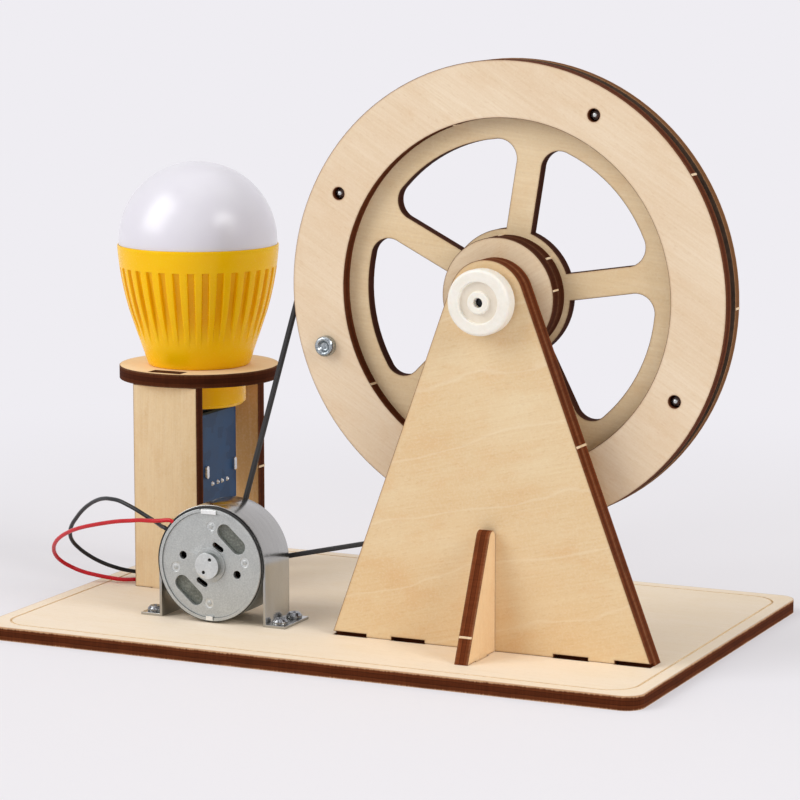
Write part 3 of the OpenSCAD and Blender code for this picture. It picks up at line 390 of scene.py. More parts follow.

# Plywood panels, each with its sheet axis, its grain, what the laser left on it and the tabs that held it.
# One key gives, by its sign along the sheet axis, the face that looks into the belt groove and gets painted
# groove shade, and easedAs the finish that the eased edges get.
upright = {
    "axis": 1, "layers": 1, "across": "Z", "turn": (0, 0, 0), "lines": 13.0, "lineShare": 0.1, "wander": 0.9,
    "blotch": "#DDB684", "fibreShare": 0.30, "singe": 0.55, "soot": 0.38, "sootTone": "#24100A", "fuzz": 0.08,
    "easedAs": charFace, "rubbed": 0, "tabs": [],
}
panels = {
    "base_board": {
        **upright, "axis": 2, "across": "Y", "turn": (0, 0, 3), "shift": (11, 5, 2), "lines": 30.0,
        "tones": ("#FAEBD8", "#F6E5CD"), "fibre": "#EEDABD", "blotch": "#F4DFBE", "soot": 0.36, "fuzz": 0.95,
        "easedAs": veneerFace},
    "wheel_stand": {
        **upright, "turn": (0, 14, 0), "shift": (40, 3, 9), "layers": 2, "tones": ("#EAD3AC", "#E3C497"),
        "fibre": "#DBB784", "blotch": "#DDAC74", "lineShare": 0.24, "wander": 0.8, "soot": 0.12,
        "tabs": [((52.2, -22.15, 46.7), (-0.357, 0, 0.934))]},
    "front_gusset": {
        **upright, "axis": 0, "turn": (0, 90, 0), "shift": (3, 7, 1), "tones": ("#F0D2A8", "#E9C79B"),
        "fibre": "#DFB98B", "soot": 0.0, "tabs": [((33.1, -37.85, 8.2), (0, 0.41, 0.91))]},
    "wheel_front_ring": {
        **upright, "turn": (0, -32, 0), "shift": (5, 0, 30), "tones": ("#EFDBC0", "#E8D0B2"),
        "fibre": "#DBBE96", "lines": 22.0, "blotch": "#DDB98F", "soot": 0.4, "rubbed": 1, "fibreShare": 0.36,
        "tabs": [rimTab(-15.9, 48.2, 33), rimTab(-15.9, 36.4, 214), rimTab(-15.9, 36.4, 108)]},
    "spoked_disc": {
        **upright, "turn": (0, -6, 0), "shift": (60, 0, 4), "tones": ("#EED6B0", "#E4C99F"),
        "fibre": "#D3B58C", "lines": 20.0, "soot": 0.78},
    "wheel_back_ring": {
        **upright, "turn": (0, 2, 0), "shift": (25, 0, 55), "tones": ("#E5CCA6", "#DBBE95"),
        "fibre": "#D0AE82", "soot": 0.6, "sootTone": "#7A5A39", "fuzz": 0.3, "rubbed": -1,
        "tabs": [rimTab(-10.55, 48.2, -1)]},
    "hub_disc_front": {
        **upright, "turn": (0, 30, 0), "shift": (1, 0, 70), "tones": ("#EBD6B8", "#E2C9A6"),
        "fibre": "#D2B38B", "lineShare": 0.0, "soot": 0.68, "tabs": [rimTab(-18.9, 12.3, 9)]},
    "hub_disc_rear": {
        **upright, "turn": (0, -20, 0), "shift": (81, 0, 20), "tones": ("#E3C9A6", "#DABD95"),
        "fibre": "#D0B088", "lineShare": 0.0, "soot": 0.68,
        "tabs": [rimTab(-15.9, 12.3, 40.5), rimTab(-15.9, 12.3, 95)]},
    "lamp_front_panel": {
        **upright, "turn": (0, 88, 0), "shift": (9, 0, 14), "tones": ("#F0D6AE", "#E6C99B"),
        "fibre": "#D6B383", "lines": 4.0, "wander": 0.5, "soot": 0.56},
    # Darker tones than the front panel: painted shade for its inner face, inside the lamp stand
    "lamp_rear_panel": {
        **upright, "turn": (0, 92, 0), "shift": (33, 0, 2), "tones": ("#DDB684", "#D1A66F"),
        "fibre": "#C3955C", "lines": 4.0, "wander": 0.5, "soot": 0.56,
        "tabs": [((-47.8, 28.8, 26.6), (0, 0, 1))]},
    "lamp_plate": {
        **upright, "axis": 2, "across": "Y", "turn": (0, 0, 24), "shift": (50, 60, 0), "lines": 12.0,
        "tones": ("#FFE9C4", "#FADDB0"), "fibre": "#ECC897", "singe": 0.3, "soot": 0.64},
}
cutLook = {"bevel": 0.1, "skin": 0.05, "engraving": 0.35, "tabWidth": 0.5, "tabProud": 0.12, "tabTaper": 0.05,
           "tabReach": 0.6}  # mm
facing = {"flat": 0.99, "broad": 0.9, "slanted": 0.4}  # share of a normal that lies along the sheet axis

for name, look in panels.items():
    axis = look["axis"]
    bm = copyNode(name)
    lo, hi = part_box(name)
    corners = [e for e in sharpEdges(bm, 60)
               if any(abs(f.normal[axis]) > facing["broad"] for f in e.link_faces)]
    bevelEdges(bm, corners, cutLook["bevel"], 1)
    for face in bm.faces:
        heights = [v.co[axis] for v in face.verts]
        deep = min(max(heights) - lo[axis], hi[axis] - min(heights)) / mm
        shallow = engravedFace if deep < cutLook["engraving"] else charFace
        if abs(face.normal[axis]) > facing["flat"]:
            face.material_index = veneerFace if deep < cutLook["skin"] else shallow
        elif abs(face.normal[axis]) > facing["slanted"]:
            face.material_index = easedFace
        else:
            face.material_index = shallow
    for face in bm.faces:
        near = {f.material_index for e in face.edges for f in e.link_faces}
        if face.material_index == easedFace and engravedFace in near:
            face.material_index = engravedFace
    outside = [f for f in bm.faces if f.material_index == veneerFace]
    bmesh.ops.inset_region(bm, faces=outside, thickness=look["singe"] * mm, use_boundary=True,
                           use_even_offset=True)
    # Snapped tabs: a short piece of the wall is cut out on both sides and stands a little proud
    for place, along in look["tabs"]:
        place, along = Vector(place) * mm, Vector(along).normalized()
        for side in (-0.5, 0.5):
            wall = [f for f in bm.faces if f.material_index == charFace
                    and bmesh.geometry.intersect_face_point(f, place)
                    and abs((f.verts[0].co - place).dot(f.normal)) < cutLook["tabReach"] * mm]
            around = wall + list({e for f in wall for e in f.edges})
            around += list({v for f in wall for v in f.verts})
            bmesh.ops.bisect_plane(bm, geom=around, dist=1e-7, plane_no=along,
                                   plane_co=place + along * side * cutLook["tabWidth"] * mm)
        stub = min((f for f in bm.faces if f.material_index == charFace),
                   key=lambda f: (f.calc_center_median() - place).length)
        stub.material_index = tabFace
        bmesh.ops.inset_individual(bm, faces=[stub], thickness=cutLook["tabTaper"] * mm,
                                   depth=cutLook["tabProud"] * mm)
    ply = bm.verts.layers.float.new("ply")
    singe = bm.verts.layers.float.new("singe")
    for vert in bm.verts:
        # Just under a whole count, so that the last ply doesn't start again
        vert[ply] = 0.999 * look["layers"] * (vert.co[axis] - lo[axis]) / (hi[axis] - lo[axis])
        vert[singe] = float(any(f.material_index in (charFace, tabFace, easedFace) for f in vert.link_faces))
    # Eased faces take their finish, and a face that looks into the belt groove gets painted groove shade
    for face in bm.faces:
        if face.material_index == easedFace:
            face.material_index = look["easedAs"]
        elif face.material_index == veneerFace and face.normal[axis] * look["rubbed"] > facing["flat"]:
            face.material_index = grooveShadeFace
    title = titleOf(name)
    label = title[0].upper() + title[1:]
    finishes = [veneer("basswoodVeneer" + label, look), charredEdge("charredPlywood" + label, axis, look),
                snappedTab, engraved, beltGrooveShade]
    keepPiece(title, bm, finishes, bodyOf[name], name, smooth=20)
print("panels cut")

# Metals and plastics
# Zinc-plated sheet, pressed: satin grey with a fine mottled skin
zincSheet = speckled("zincPlatedSheet", ("#A8ABAA", "#BEC1BF"), 0.30, (0.46, 0.58), 0.006, metallic=0.9,
                     cloud=0.2)
# The same plating where a press or a tool has burnished it; on the face of the end plate's cup it is a
# painted highlight
burnishedZinc = speckled("burnishedZinc", ("#C3C6C4", "#D8DBD9"), 0.35, (0.26, 0.38), 0.004, metallic=0.9)
# The same plating on the folded tabs, painted near white as a highlight
foldedZincHighlight = speckled("foldedBrightZinc", ("#E6E8E7", "#F5F6F5"), 0.35, (0.32, 0.42), 0.004, metallic=0.7)
# The same plating, darker: painted shade on the side walls of the end plate's cup
zincShade = speckled("drawnZincWall", ("#7D807E", "#949795"), 0.3, (0.4, 0.5), 0.004, metallic=0.9)
# The inside of a deep blind hole, painted near black as shade
holeShade = speckled("dustyHole", ("#0C0C0C", "#1A1A19"), 0.3, (0.7, 0.9))
# Nickel-plated strip, rolled: brighter, with faint lines along the strip
nickelStrip = speckled("nickelPlatedStrip", ("#A9A8A4", "#B2B1AD"), 0.5, (0.18, 0.23), 0.0, (8, 0.8, 8), 1.0)
# Zinc-plated steel, turned: bright with uneven plating
brightZinc = speckled("brightZincSteel", ("#A9ADB0", "#E6E9EA"), 0.35, (0.14, 0.30), 0.012, metallic=1.0)
# The same plating on the bolt: bluish grey, rubbed on the threads
boltZinc = speckled("bluishZincBolt", ("#7F888C", "#C4CACC"), 0.30, (0.18, 0.32), 0.012, metallic=1.0,
                    cloud=0.3)
# The same plating on the small screws: dark and mottled with bright spots, a painted dark reflection with
# painted glints
mottledScrewReflection = speckled("mottledZincScrew", ("#3C3D3F", "#B4B6B8"), 0.30, (0.12, 0.30), 0.02, metallic=1.0,
                       cloud=0.2)
# Steel rod, cut off square, painted near black as the shade at its ends deep in the collars' holes
rodPaintedShade = speckled("blackenedSteelRod", ("#232427", "#3D3F42"), 0.3, (0.35, 0.5), 0.004, metallic=1.0)
# Drawn steel rod: plain and satin
drawnSteel = speckled("drawnSteel", ("#83868A", "#A3A6A9"), 0.3, (0.25, 0.38), 0.002, (0.4, 6, 0.4), 1.0)
# Natural nylon, moulded: warm white, slightly see-through, with a soft sheen
nylonSkin = speckled("naturalNylon", ("#F0EBE0", "#F6F2E9"), 0.8, (0.34, 0.46), 0.004, extra={
    "Subsurface Weight": 0.25, "Subsurface Radius": (1.0, 0.8, 0.6), "Subsurface Scale": 1.2 * mm,
    "IOR": 1.53})
# The same nylon, a little darker, as painted shade at the bottom of the collar's recess
nylonRecessShade = speckled("thinNylonWeb", ("#EADFCD", "#F0E7D8"), 0.8, (0.36, 0.48), 0.004)
# Rubber, moulded: near black and dull, with a dusty bloom
beltRubber = speckled("blackBeltRubber", ("#262526", "#343334"), 0.4, (0.62, 0.8), 0.01)
# Painted shade: a black, dull ring that fills the gap between the can and the strap
gapShadeBlack = speckled("blackSleeve", ("#101010", "#1B1B1B"), 0.6, (0.5, 0.65), 0.006)
# Sintered ferrite: charcoal and grainy
ferriteGrain = speckled("sinteredFerrite", ("#38383A", "#4A4A4C"), 0.25, (0.55, 0.7), 0.01)
# Brass strip: yellow metal, dulled by handling
brassStrip = speckled("dulledBrass", ("#A9884A", "#C9A968"), 0.5, (0.28, 0.42), 0.004, metallic=1.0)
# Stamped core sheets: dull grey, striped by the stack
coreSheets = speckled("stackedCoreSheet", ("#5E6063", "#7C7E81"), 0.3, (0.4, 0.55), 0.02, (6, 0.5, 6), 1.0)
# Enamelled copper: red-brown and glossy, with the turns showing as fine lines
copperTurns = speckled("enamelledCopper", ("#8E4423", "#B8642F"), 0.25, (0.25, 0.35), 0.03, (5, 0.6, 0.6),
                       0.8)
# White solder mask on the lamp's board, smooth, and the chips' yellow phosphor, set as a clear gel
whiteMask = speckled("whiteSolderMask", ("#E2E2DE", "#EEEEEB"), 0.8, (0.35, 0.45), 0.003)
phosphorGel = speckled("phosphorGel", ("#E5CF62", "#F0DE86"), 0.5, (0.2, 0.3), 0.003)
# Moulded chip and inductor bodies: black and dull
blackMould = speckled("blackMouldedBody", ("#232324", "#323234"), 0.3, (0.5, 0.65), 0.008)
# Solder, set from liquid: bright with a slightly frosted skin
setSolder = speckled("setSolder", ("#B9BBBD", "#E4E5E6"), 0.3, (0.14, 0.32), 0.02, metallic=1.0)
# Grey-olive fibre board that shows through the motor's vents, smooth and a little glossy
fibreBoard = speckled("greyFibreBoard", ("#565A53", "#7E827A"), 0.5, (0.18, 0.34), 0.02)
# Polycarbonate, frosted inside and smooth outside: milky, with a soft clear gloss
milkyDome = speckled("frostedPolycarbonate", ("#E3E0EA", "#E5E3EB"), 6.0, (0.30, 0.32), 0.0, extra={
    "Subsurface Weight": 0.2, "Subsurface Radius": (1.0, 0.97, 0.97), "Subsurface Scale": 2.0 * mm,
    "IOR": 1.5, "Coat Weight": 0.7, "Coat Roughness": 0.27})

# Small hard pieces: a copy of the CAD shape with its edges eased by so many mm
eased = {
    "front_collar": (nylonSkin, 0.4), "rear_collar": (nylonSkin, 0.4), "crank_knob": (nylonSkin, 0.25),
    "motor_pulley": (nylonSkin, 0.08), "axle": (rodPaintedShade, 0.12), "motor_shaft": (drawnSteel, 0.1),
    "wheel_screws": (burnishedZinc, 0.1), "crank_bolt": (boltZinc, 0.14), "crank_nut": (brightZinc, 0.12),
    "bracket_screws": (mottledScrewReflection, 0.12), "motor_can": (zincSheet, 0.1),
    "motor_end_plate": (zincSheet, 0.12), "motor_bracket": (nickelStrip, 0.12),
    "usb_plug": (nickelStrip, 0.12), "usb_socket": (nickelStrip, 0.2), "drive_belt": (beltRubber, 0.22),
    "motor_terminals": (brassStrip, 0.08), "boost_parts": (blackMould, 0.15),
}
# Where another finish lies, in mm behind a piece's front or from the motor's axle: the folded tabs on the
# can's rim, with a painted highlight; the end plate's cup, with a painted highlight on its face and painted
# shade on its walls; the burnished pressed rings; the blind holes, with painted shade; and painted shade at
# the bottom of the collar's recess
endLook = {"rim": 12.1, "tabDeep": 0.23, "cupFace": 0.03, "cupHigh": 1.6, "ringDeep": (0.08, 0.2),
           "ringFrom": 7, "holeRadius": (1.1, 2.1), "holeDeep": 0.55, "webDeep": (0.5, 1.2)}


# How far a point lies from the motor's axle, in mm
def fromAxle(spot):
    return math.hypot(spot.x / mm - motorSpot.x, spot.z / mm - motorSpot.z)


for name, (finish, width) in eased.items():
    bm = copyNode(name)
    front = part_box(name)[0].y
    sharp = [e for e in sharpEdges(bm, 32) if len(e.link_faces) == 2]
    if name == "motor_can":  # only the outer rim: the folded tabs stay sharp
        sharp = [e for e in sharp if all(fromAxle(v.co) > endLook["rim"] for v in e.verts)]
    bevelEdges(bm, sharp, width, 3 if finish is nylonSkin else 2)
    finishes = [finish]
    if name == "front_collar":
        finishes.append(nylonRecessShade)
    elif name == "motor_can":
        finishes.append(foldedZincHighlight)
    elif name == "motor_end_plate":
        finishes += [burnishedZinc, holeShade, zincShade]
    for face in bm.faces:
        spot = face.calc_center_median()
        behind, radius = (spot.y - front) / mm, fromAxle(spot)
        index = 0
        if name == "front_collar":
            # The bottom of the collar's recess: painted shade
            index = int(-face.normal.y > 0.9 and endLook["webDeep"][0] < behind < endLook["webDeep"][1])
        elif name == "motor_can":
            # The folded tabs on the rim: painted highlight
            index = int(behind < endLook["tabDeep"])
        elif name == "motor_end_plate":
            pressed = endLook["ringDeep"][0] < behind - endLook["cupHigh"] < endLook["ringDeep"][1]
            # The cup's face: painted highlight; the pressed rings: burnished
            if behind < endLook["cupFace"] or (pressed and radius > endLook["ringFrom"]):
                index = 1
            # Side walls of the cup: painted shade
            elif abs(face.normal.y) < 0.5 and behind < endLook["cupHigh"]:
                index = 3
            # Blind holes: painted shade
            elif endLook["cupFace"] < behind < endLook["holeDeep"] and \
                    endLook["holeRadius"][0] < radius < endLook["holeRadius"][1]:
                index = 2
        face.material_index = index
    keepPiece(titleOf(name), bm, finishes, bodyOf[name], name, smooth=40)
print("hard pieces eased")

# CAD nodes that stay as they are and only get their finish
carried = {
    "bulb_dome": milkyDome, "motor_magnets": ferriteGrain, "motor_brushes": brassStrip,
    "commutator": brassStrip, "motor_front_bearing": brassStrip, "motor_rear_bearing": brassStrip,
    "armature_core": coreSheets, "armature_winding": copperTurns, "led_board": whiteMask,
    "led_chips": phosphorGel,
}
for name, finish in carried.items():
    nodes[name].material_slots[0].material = finish


# ABS, moulded in yellow: glossy, with light passing a little way into the ribs. A vertex attribute runs
# from 0 on the ribs to 1 at the bottom of the grooves, where it mixes in a deeper orange as painted shade.
def yellowAbs(name):
    material, tree = startMaterial(name)
    spot = put(tree, "ShaderNodeTexCoord").outputs["Object"]
    scaled = put(tree, "ShaderNodeMapping", {"Vector": spot, "Scale": (1 / mm,) * 3}).outputs[0]
    flow = put(tree, "ShaderNodeTexNoise", {"Vector": scaled, "Scale": 0.35, "Detail": 3.0}).outputs[0]
    skin = put(tree, "ShaderNodeTexNoise", {"Vector": scaled, "Scale": 2.5, "Detail": 2.0}).outputs[0]
    body = put(tree, "ShaderNodeMix", {0: flow, 6: linear("#FEC000"), 7: linear("#FFCC0A")},
               data_type="RGBA").outputs[2]
    groove = put(tree, "ShaderNodeAttribute", attribute_name="groove").outputs["Fac"]
    share = put(tree, "ShaderNodeMath", {0: groove, 1: 0.5}, operation="MULTIPLY").outputs[0]
    colour = put(tree, "ShaderNodeMix", {0: share, 6: body, 7: linear("#EBA400")},
                 data_type="RGBA").outputs[2]
    rough = put(tree, "ShaderNodeMapRange", {"Value": skin, "To Min": 0.20, "To Max": 0.32}).outputs[0]
    bump = put(tree, "ShaderNodeBump", {"Height": skin, "Strength": 0.4, "Distance": 0.01 * mm}).outputs[0]
    surface = put(tree, "ShaderNodeBsdfPrincipled", {
        "Base Color": colour, "Roughness": rough, "Normal": bump, "IOR": 1.5, "Specular IOR Level": 0.18,
        "Subsurface Weight": 0.1, "Subsurface Radius": (1.0, 0.55, 0.1), "Subsurface Scale": 0.8 * mm})
    put(tree, "ShaderNodeOutputMaterial", {"Surface": surface.outputs[0]})
    return material


# Lamp shell: one rib's width is shaped on a grid and spun round the axis
shellLook = {
    "foot": 11.4, "waist": (15.5, 12.1), "seam": (18.2, 27.3), "arc": 68.0,  # mm, radius and height
    "footEase": 0.25, "rimEase": 0.12, "neck": 10.5, "neckTop": 0.6, "neckLength": 9.0, "chamfer": 0.8,
    "plugHole": 3.0, "lip": 17.9, "lipDeep": 1.0,
    "grooves": 33, "start": 3.8, "wide": 1.55, "low": 5.2, "top": 22.4, "cut": 0.8, "round": 0.16,
    "floorRise": 0.05, "floorInset": 0.25, "shadeDeep": 0.7, "heights": [
        0, 0.25, 0.8, 2, 3.6, 5.2, 6, 6.8, 7.6, 8.6, 9.8, 11, 12.1, 13.4, 14.8, 16.2, 17.6, 19, 20.4, 21.4,
        22.1, 22.32, 22.42, 22.6, 23.2, 24.2, 25.4, 26.4, 27.05, 27.3],
}
lampLo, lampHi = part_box("bulb_shell")
lampFoot = (lampLo + lampHi) / 2
lampFoot.z = lampHi.z - shellLook["seam"][1] * mm


def shellRadius(height):
    waist, seam = Vector(shellLook["waist"]), Vector(shellLook["seam"])
    if height <= waist.y:
        return shellLook["foot"] + (waist.x - shellLook["foot"]) * height / waist.y
    chord = seam - waist
    inward = Vector((-chord.y, chord.x)).normalized()
    middle = waist + chord / 2 + inward * math.sqrt(shellLook["arc"] ** 2 - chord.length_squared / 4)
    return middle.x + math.sqrt(shellLook["arc"] ** 2 - (height - middle.y) ** 2)


# A groove's floor rises in a straight line from the shell's face at its lower end
def grooveDepth(height):
    low, top = shellLook["low"], shellLook["top"]
    if not low < height < top:
        return 0.0
    floorLow = shellRadius(low) + shellLook["floorRise"]
    floorTop = shellLook["seam"][0] - shellLook["floorInset"] - shellLook["cut"]
    return max(0.0, shellRadius(height) - floorLow - (floorTop - floorLow) * (height - low) / (top - low))


# Half a rib's width, from the middle of a groove to the middle of a rib: mm from the groove's middle and
# share of its depth, then shares of the rib's own half
half, ease = shellLook["wide"] / 2, shellLook["round"]
wallShare = 0.35  # share of the depth at the groove's nominal side
halfColumns = [(0.0, 1.0), (half * 0.55, 1.0), (half - ease, 1.0), (half - ease * 0.3, 1 - wallShare),
               (half, wallShare), (half + ease * 0.3, 0.1), (half + ease, 0.0), (None, 0.5), (None, 1.0)]
columns = [(offset if offset is None else -offset, depth, -1) for offset, depth in reversed(halfColumns[1:])]
columns += [(offset, depth, 1) for offset, depth in halfColumns]
heights = shellLook["heights"]
pitch = 2 * math.pi / shellLook["grooves"]
bm = bmesh.new()
bmesh.ops.create_grid(bm, x_segments=len(columns) - 1, y_segments=len(heights) - 1, size=1.0)
groove = bm.verts.layers.float.new("groove")
for vert in bm.verts:
    offset, depth, side = columns[round((vert.co.x + 1) / 2 * (len(columns) - 1))]
    height = heights[round((vert.co.y + 1) / 2 * (len(heights) - 1))]
    radius = shellRadius(height)
    if offset is None:
        angle = math.asin((half + ease) / radius)
        angle = side * (angle + (pitch / 2 - angle) * depth)
    else:
        angle = math.asin(offset / radius)
        full = grooveDepth(height)
        # Rounded at the top and the bottom of the groove's wall, however deep it is
        if depth < 0.5:
            sunk = min(full * depth, ease * depth / wallShare)
        else:
            sunk = max(full * depth, full - ease * (1 - depth) / wallShare)
        radius -= sunk
        # Painted shade in the groove grows with its depth
        vert[groove] = min(1.0, sunk / shellLook["shadeDeep"])
    if height == 0:
        radius -= shellLook["footEase"]
    if height == heights[-1]:
        radius -= shellLook["rimEase"]
    vert.co = Vector((radius * math.cos(angle), radius * math.sin(angle), height))
bmesh.ops.rotate(bm, verts=bm.verts, cent=(0, 0, 0),
                 matrix=Matrix.Rotation(math.radians(shellLook["start"]) + pitch / 2, 3, "Z"))
bmesh.ops.spin(bm, geom=bm.verts[:] + bm.edges[:] + bm.faces[:], cent=(0, 0, 0), axis=(0, 0, 1),
               dvec=(0, 0, 0), angle=2 * math.pi - pitch, steps=shellLook["grooves"] - 1, use_duplicate=True)
bmesh.ops.remove_doubles(bm, verts=bm.verts, dist=0.02)
# The neck below and the lip above follow from the open rims, as steps of radius and height
neck, neckEnd, lip = shellLook["neck"], -shellLook["neckLength"], shellLook["lip"]
rims = {
    0: [(neck, 0), (neck, -shellLook["neckTop"]), (neck, neckEnd + shellLook["chamfer"]),
        (neck - shellLook["chamfer"], neckEnd), (shellLook["plugHole"], neckEnd)],
    heights[-1]: [(lip, heights[-1]), (lip, heights[-1] - shellLook["lipDeep"])],
}
for level, steps in rims.items():
    rim = [e for e in bm.edges if e.is_boundary and abs(e.verts[0].co.z - level) < 0.01]
    for radius, height in steps:
        made = bmesh.ops.extrude_edge_only(bm, edges=rim)["geom"]
        rim = [g for g in made if isinstance(g, bmesh.types.BMEdge)]
        for vert in {v for e in rim for v in e.verts}:
            flatPlace = Vector(vert.co.xy).normalized() * radius
            vert.co = Vector((flatPlace.x, flatPlace.y, height))
    if level == 0:
        bmesh.ops.edgeloop_fill(bm, edges=rim)
bmesh.ops.recalc_face_normals(bm, faces=bm.faces)
bmesh.ops.scale(bm, vec=(mm, mm, mm), verts=bm.verts)
bmesh.ops.translate(bm, vec=lampFoot, verts=bm.verts)
keepPiece("bulbShell", bm, [yellowAbs("yellowMouldedAbs")], bodyOf["bulb_shell"], "bulb_shell", smooth=38)
print("lamp shell fluted")


# Blue solder mask over copper tracks, which stand out as slightly lighter fields
def solderMask(name):
    material, tree = startMaterial(name)
    spot = put(tree, "ShaderNodeTexCoord").outputs["Object"]
    scaled = put(tree, "ShaderNodeMapping", {"Vector": spot, "Scale": (1 / mm,) * 3}).outputs[0]
    track = put(tree, "ShaderNodeTexVoronoi", {"Vector": scaled, "Scale": 0.28, "Randomness": 0.55},
                distance="MANHATTAN", feature="F1").outputs["Color"]
    pour = put(tree, "ShaderNodeSeparateColor", {"Color": track}).outputs[0]
    onCopper = put(tree, "ShaderNodeMath", {0: pour, 1: 0.45}, operation="GREATER_THAN").outputs[0]
    cloud = put(tree, "ShaderNodeTexNoise", {"Vector": scaled, "Scale": 0.35, "Detail": 3.0}).outputs[0]
    share = put(tree, "ShaderNodeMath", {0: onCopper, 1: cloud}, operation="MULTIPLY").outputs[0]
    colour = put(tree, "ShaderNodeMix", {0: share, 6: linear("#1B3E66"), 7: linear("#264F7C")},
                 data_type="RGBA").outputs[2]
    bump = put(tree, "ShaderNodeBump", {"Height": onCopper, "Strength": 0.5,
                                        "Distance": 0.03 * mm}).outputs[0]
    rough = put(tree, "ShaderNodeMapRange", {"Value": cloud, "To Min": 0.34, "To Max": 0.5}).outputs[0]
    surface = put(tree, "ShaderNodeBsdfPrincipled", {"Base Color": colour, "Roughness": rough, "Normal": bump,
                                                     "Specular IOR Level": 0.25})
    put(tree, "ShaderNodeOutputMaterial", {"Surface": surface.outputs[0]})
    return material


# Boost board, and its solder joints: the four contacts are drawn in to low beads, and all tops are rounded
boardLook = {"bevel": 0.1, "contacts": (-3.5, -1.0, 1.0, 3.5), "middle": 0.75, "reach": 1.6, "foot": 0.1,
             "round": 0.17,  # mm
             "narrow": 0.72, "low": 0.5}  # shares of the CAD bead's width and height
bm = copyNode("boost_board")
bevelEdges(bm, bm.edges[:], boardLook["bevel"], 1)
keepPiece("boostBoard", bm, [solderMask("blueSolderMask")], bodyOf["boost_board"], "boost_board")

bm = copyNode("solder_joints")
lo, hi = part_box("solder_joints")
contacts = [(lo.y + hi.y) / 2 + y * mm for y in boardLook["contacts"]]
beadShare = Vector((boardLook["low"], boardLook["narrow"], boardLook["narrow"]))
for vert in bm.verts:
    if vert.co.z < lo.z + boardLook["reach"] * mm:
        across = min(contacts, key=lambda y: abs(y - vert.co.y))
        heart = Vector((lo.x, across, lo.z + boardLook["middle"] * mm))
        vert.co = heart + (vert.co - heart) * beadShare
tops = [e for e in sharpEdges(bm, 32) if min(v.co.x for v in e.verts) > lo.x + boardLook["foot"] * mm]
bevelEdges(bm, tops, boardLook["round"], 3)
keepPiece("solderJoints", bm, [setSolder], bodyOf["solder_joints"], "solder_joints", smooth=60)
print("board made")

# Motor trim: a black ring round the can in front of the strap, as painted shade for the dark gap between can
# and strap, set a little to the left so that it hardly shows on the right, and grey fibre board behind the
# two vents
motorTrim = {
    "sleeve": (12.1, 12.5, -27.6, -26.95), "slip": (-0.2, 0, 0.1), "sleeveRound": 0.15, "steps": 128,
    "vents": ((3.53, -7.4), (6.77, -4.5)), "ventWidth": 4.2, "lining": (-26.55, -26.3), "liningRound": 0.08,
}  # mm, apart from steps
inner, outer, front, back = motorTrim["sleeve"]
gapShadeSpot = motorSpot + Vector(motorTrim["slip"])
bm = bmesh.new()
ringCorners = [bm.verts.new((gapShadeSpot.x + r, y, gapShadeSpot.z)) for r, y in
               ((inner, front), (outer, front), (outer, back), (inner, back))]
ringEdges = [bm.edges.new((ringCorners[i], ringCorners[(i + 1) % 4])) for i in range(4)]
bmesh.ops.spin(bm, geom=ringCorners + ringEdges, cent=gapShadeSpot, axis=(0, 1, 0), dvec=(0, 0, 0),
               angle=2 * math.pi, steps=motorTrim["steps"], use_merge=True)
bmesh.ops.remove_doubles(bm, verts=bm.verts, dist=0.0005)
bmesh.ops.recalc_face_normals(bm, faces=bm.faces)
bmesh.ops.scale(bm, vec=(mm, mm, mm), verts=bm.verts)
bevelEdges(bm, sharpEdges(bm, 60), motorTrim["sleeveRound"], 2)
keepPiece("canSleeve", bm, [gapShadeBlack], "frame", smooth=40)

ventA, ventB = (Vector((x, 0, -y)) for x, y in motorTrim["vents"])
run, width = ventB - ventA, motorTrim["ventWidth"]
liningFront, liningBack = motorTrim["lining"]
bm = bmesh.new()
for turn in (0, 180):
    made = bmesh.ops.create_cube(bm, size=1.0)["verts"]
    bmesh.ops.scale(bm, vec=(run.length + width, liningBack - liningFront, width), verts=made)
    bmesh.ops.rotate(bm, verts=made, cent=(0, 0, 0),
                     matrix=Matrix.Rotation(math.atan2(-run.z, run.x), 3, "Y"))
    bmesh.ops.translate(bm, verts=made, vec=(ventA + ventB) / 2)
    bmesh.ops.rotate(bm, verts=made, cent=(0, 0, 0), matrix=Matrix.Rotation(math.radians(turn), 3, "Y"))
    bmesh.ops.translate(bm, verts=made, vec=(motorSpot.x, (liningFront + liningBack) / 2, motorSpot.z))
bmesh.ops.scale(bm, vec=(mm, mm, mm), verts=bm.verts)
bevelEdges(bm, bm.edges[:], motorTrim["liningRound"], 1)
keepPiece("ventLinings", bm, [fibreBoard], "frame")
print("motor trimmed")

# Stage: a pale floor that fills the view, and soft light from the upper left, the right and above
stageLook = {
    "floor": "#EFEDF2", "half": 9.0, "near": 0.12, "far": 0.32,  # m
    "glow": 0.35, "sky": "#FCFAF6", "world": 0.43, "aim": (0, 0, 0.05),
    # Where each lamp stands and how wide it is, in m, and how strong it is, in W
    "lamps": {
        "keySoftbox": ((-0.98, -0.92, 1.0), (1.0, 1.3), 14.6),
        "fillSoftbox": ((1.2, -0.38, 0.75), (0.6, 0.7), 8.2),
        "topSoftbox": ((0.1, 0.25, 1.4), (1.2, 1.2), 2.3),
    },
}


# 1 for a ray that sees the background: straight from the camera, in a reflection or through something clear
def seenRay(tree):
    light = put(tree, "ShaderNodeLightPath").outputs
    seen = put(tree, "ShaderNodeMath", {0: light["Is Camera Ray"], 1: light["Is Glossy Ray"]},
               operation="MAXIMUM").outputs[0]
    return put(tree, "ShaderNodeMath", {0: seen, 1: light["Is Transmission Ray"]},
               operation="MAXIMUM").outputs[0]


bm = bmesh.new()
bmesh.ops.create_grid(bm, x_segments=8, y_segments=8, size=stageLook["half"])
mesh = bpy.data.meshes.new("studioFloor")
bm.to_mesh(mesh)
bm.free()
studioFloor = bpy.data.objects.new("studioFloor", mesh)
scene.collection.objects.link(studioFloor)
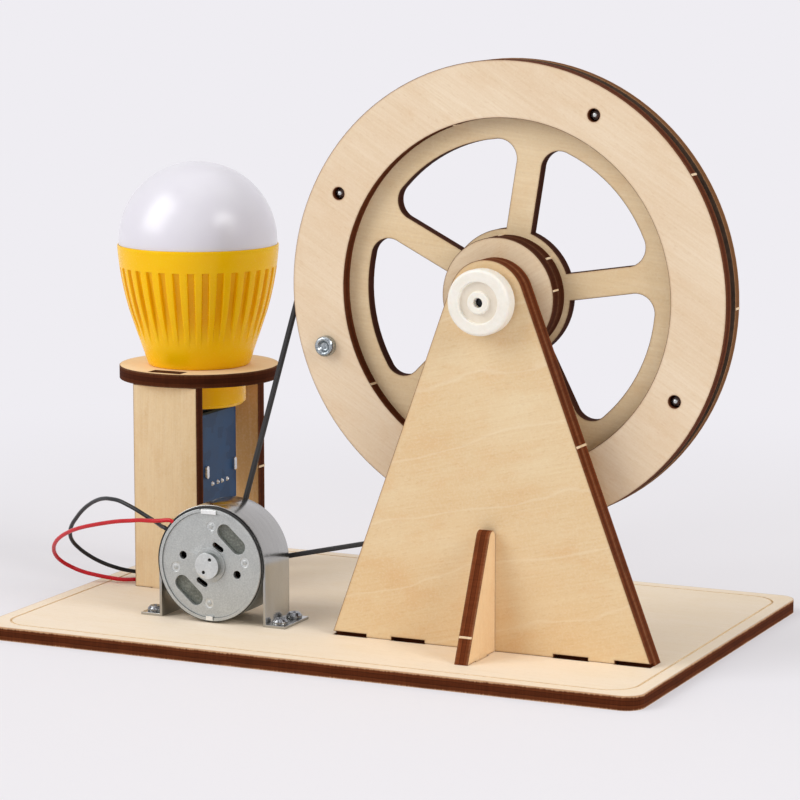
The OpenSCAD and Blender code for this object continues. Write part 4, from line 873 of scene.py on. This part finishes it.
# Paper sweep: lit like the object near it, and its own plain colour further off
material, tree = startMaterial("paleSweep")
spot = put(tree, "ShaderNodeTexCoord").outputs["Object"]
away = put(tree, "ShaderNodeVectorMath", {0: spot}, operation="LENGTH").outputs["Value"]
glow = put(tree, "ShaderNodeMapRange", {
    "Value": away, "From Min": stageLook["near"], "From Max": stageLook["far"], "To Min": stageLook["glow"],
    "To Max": 1.0}, interpolation_type="SMOOTHSTEP").outputs[0]
share = put(tree, "ShaderNodeMath", {0: seenRay(tree), 1: glow}, operation="MULTIPLY").outputs[0]
lit = put(tree, "ShaderNodeBsdfPrincipled", {"Base Color": linear(stageLook["floor"]), "Roughness": 0.9,
                                             "Specular IOR Level": 0.0}).outputs[0]
plain = put(tree, "ShaderNodeEmission", {"Color": linear(stageLook["floor"]), "Strength": 1.0}).outputs[0]
mixed = put(tree, "ShaderNodeMixShader", {0: share, 1: lit, 2: plain}).outputs[0]
put(tree, "ShaderNodeOutputMaterial", {"Surface": mixed})
mesh.materials.append(material)

world = bpy.data.worlds.new("studio")
scene.world = world
world.use_nodes = True
tree = world.node_tree
tree.nodes.clear()
seen = seenRay(tree)
level = put(tree, "ShaderNodeMapRange", {"Value": seen, "To Min": stageLook["world"],
                                         "To Max": 1.0}).outputs[0]
tint = put(tree, "ShaderNodeMix", {0: seen, 6: linear(stageLook["sky"]), 7: linear(stageLook["floor"])},
           data_type="RGBA").outputs[2]
sky = put(tree, "ShaderNodeBackground", {"Color": tint, "Strength": level}).outputs[0]
put(tree, "ShaderNodeOutputWorld", {"Surface": sky})

for name, (place, size, power) in stageLook["lamps"].items():
    lamp = bpy.data.lights.new(name, "AREA")
    lamp.shape = "RECTANGLE"
    lamp.size, lamp.size_y = size
    lamp.energy = power
    softbox = bpy.data.objects.new(name, lamp)
    softbox.location = place
    softbox.rotation_euler = (Vector(stageLook["aim"]) - Vector(place)).to_track_quat("-Z", "Y").to_euler()
    scene.collection.objects.link(softbox)
scene.view_settings.view_transform = "Standard"
print("stage lit")
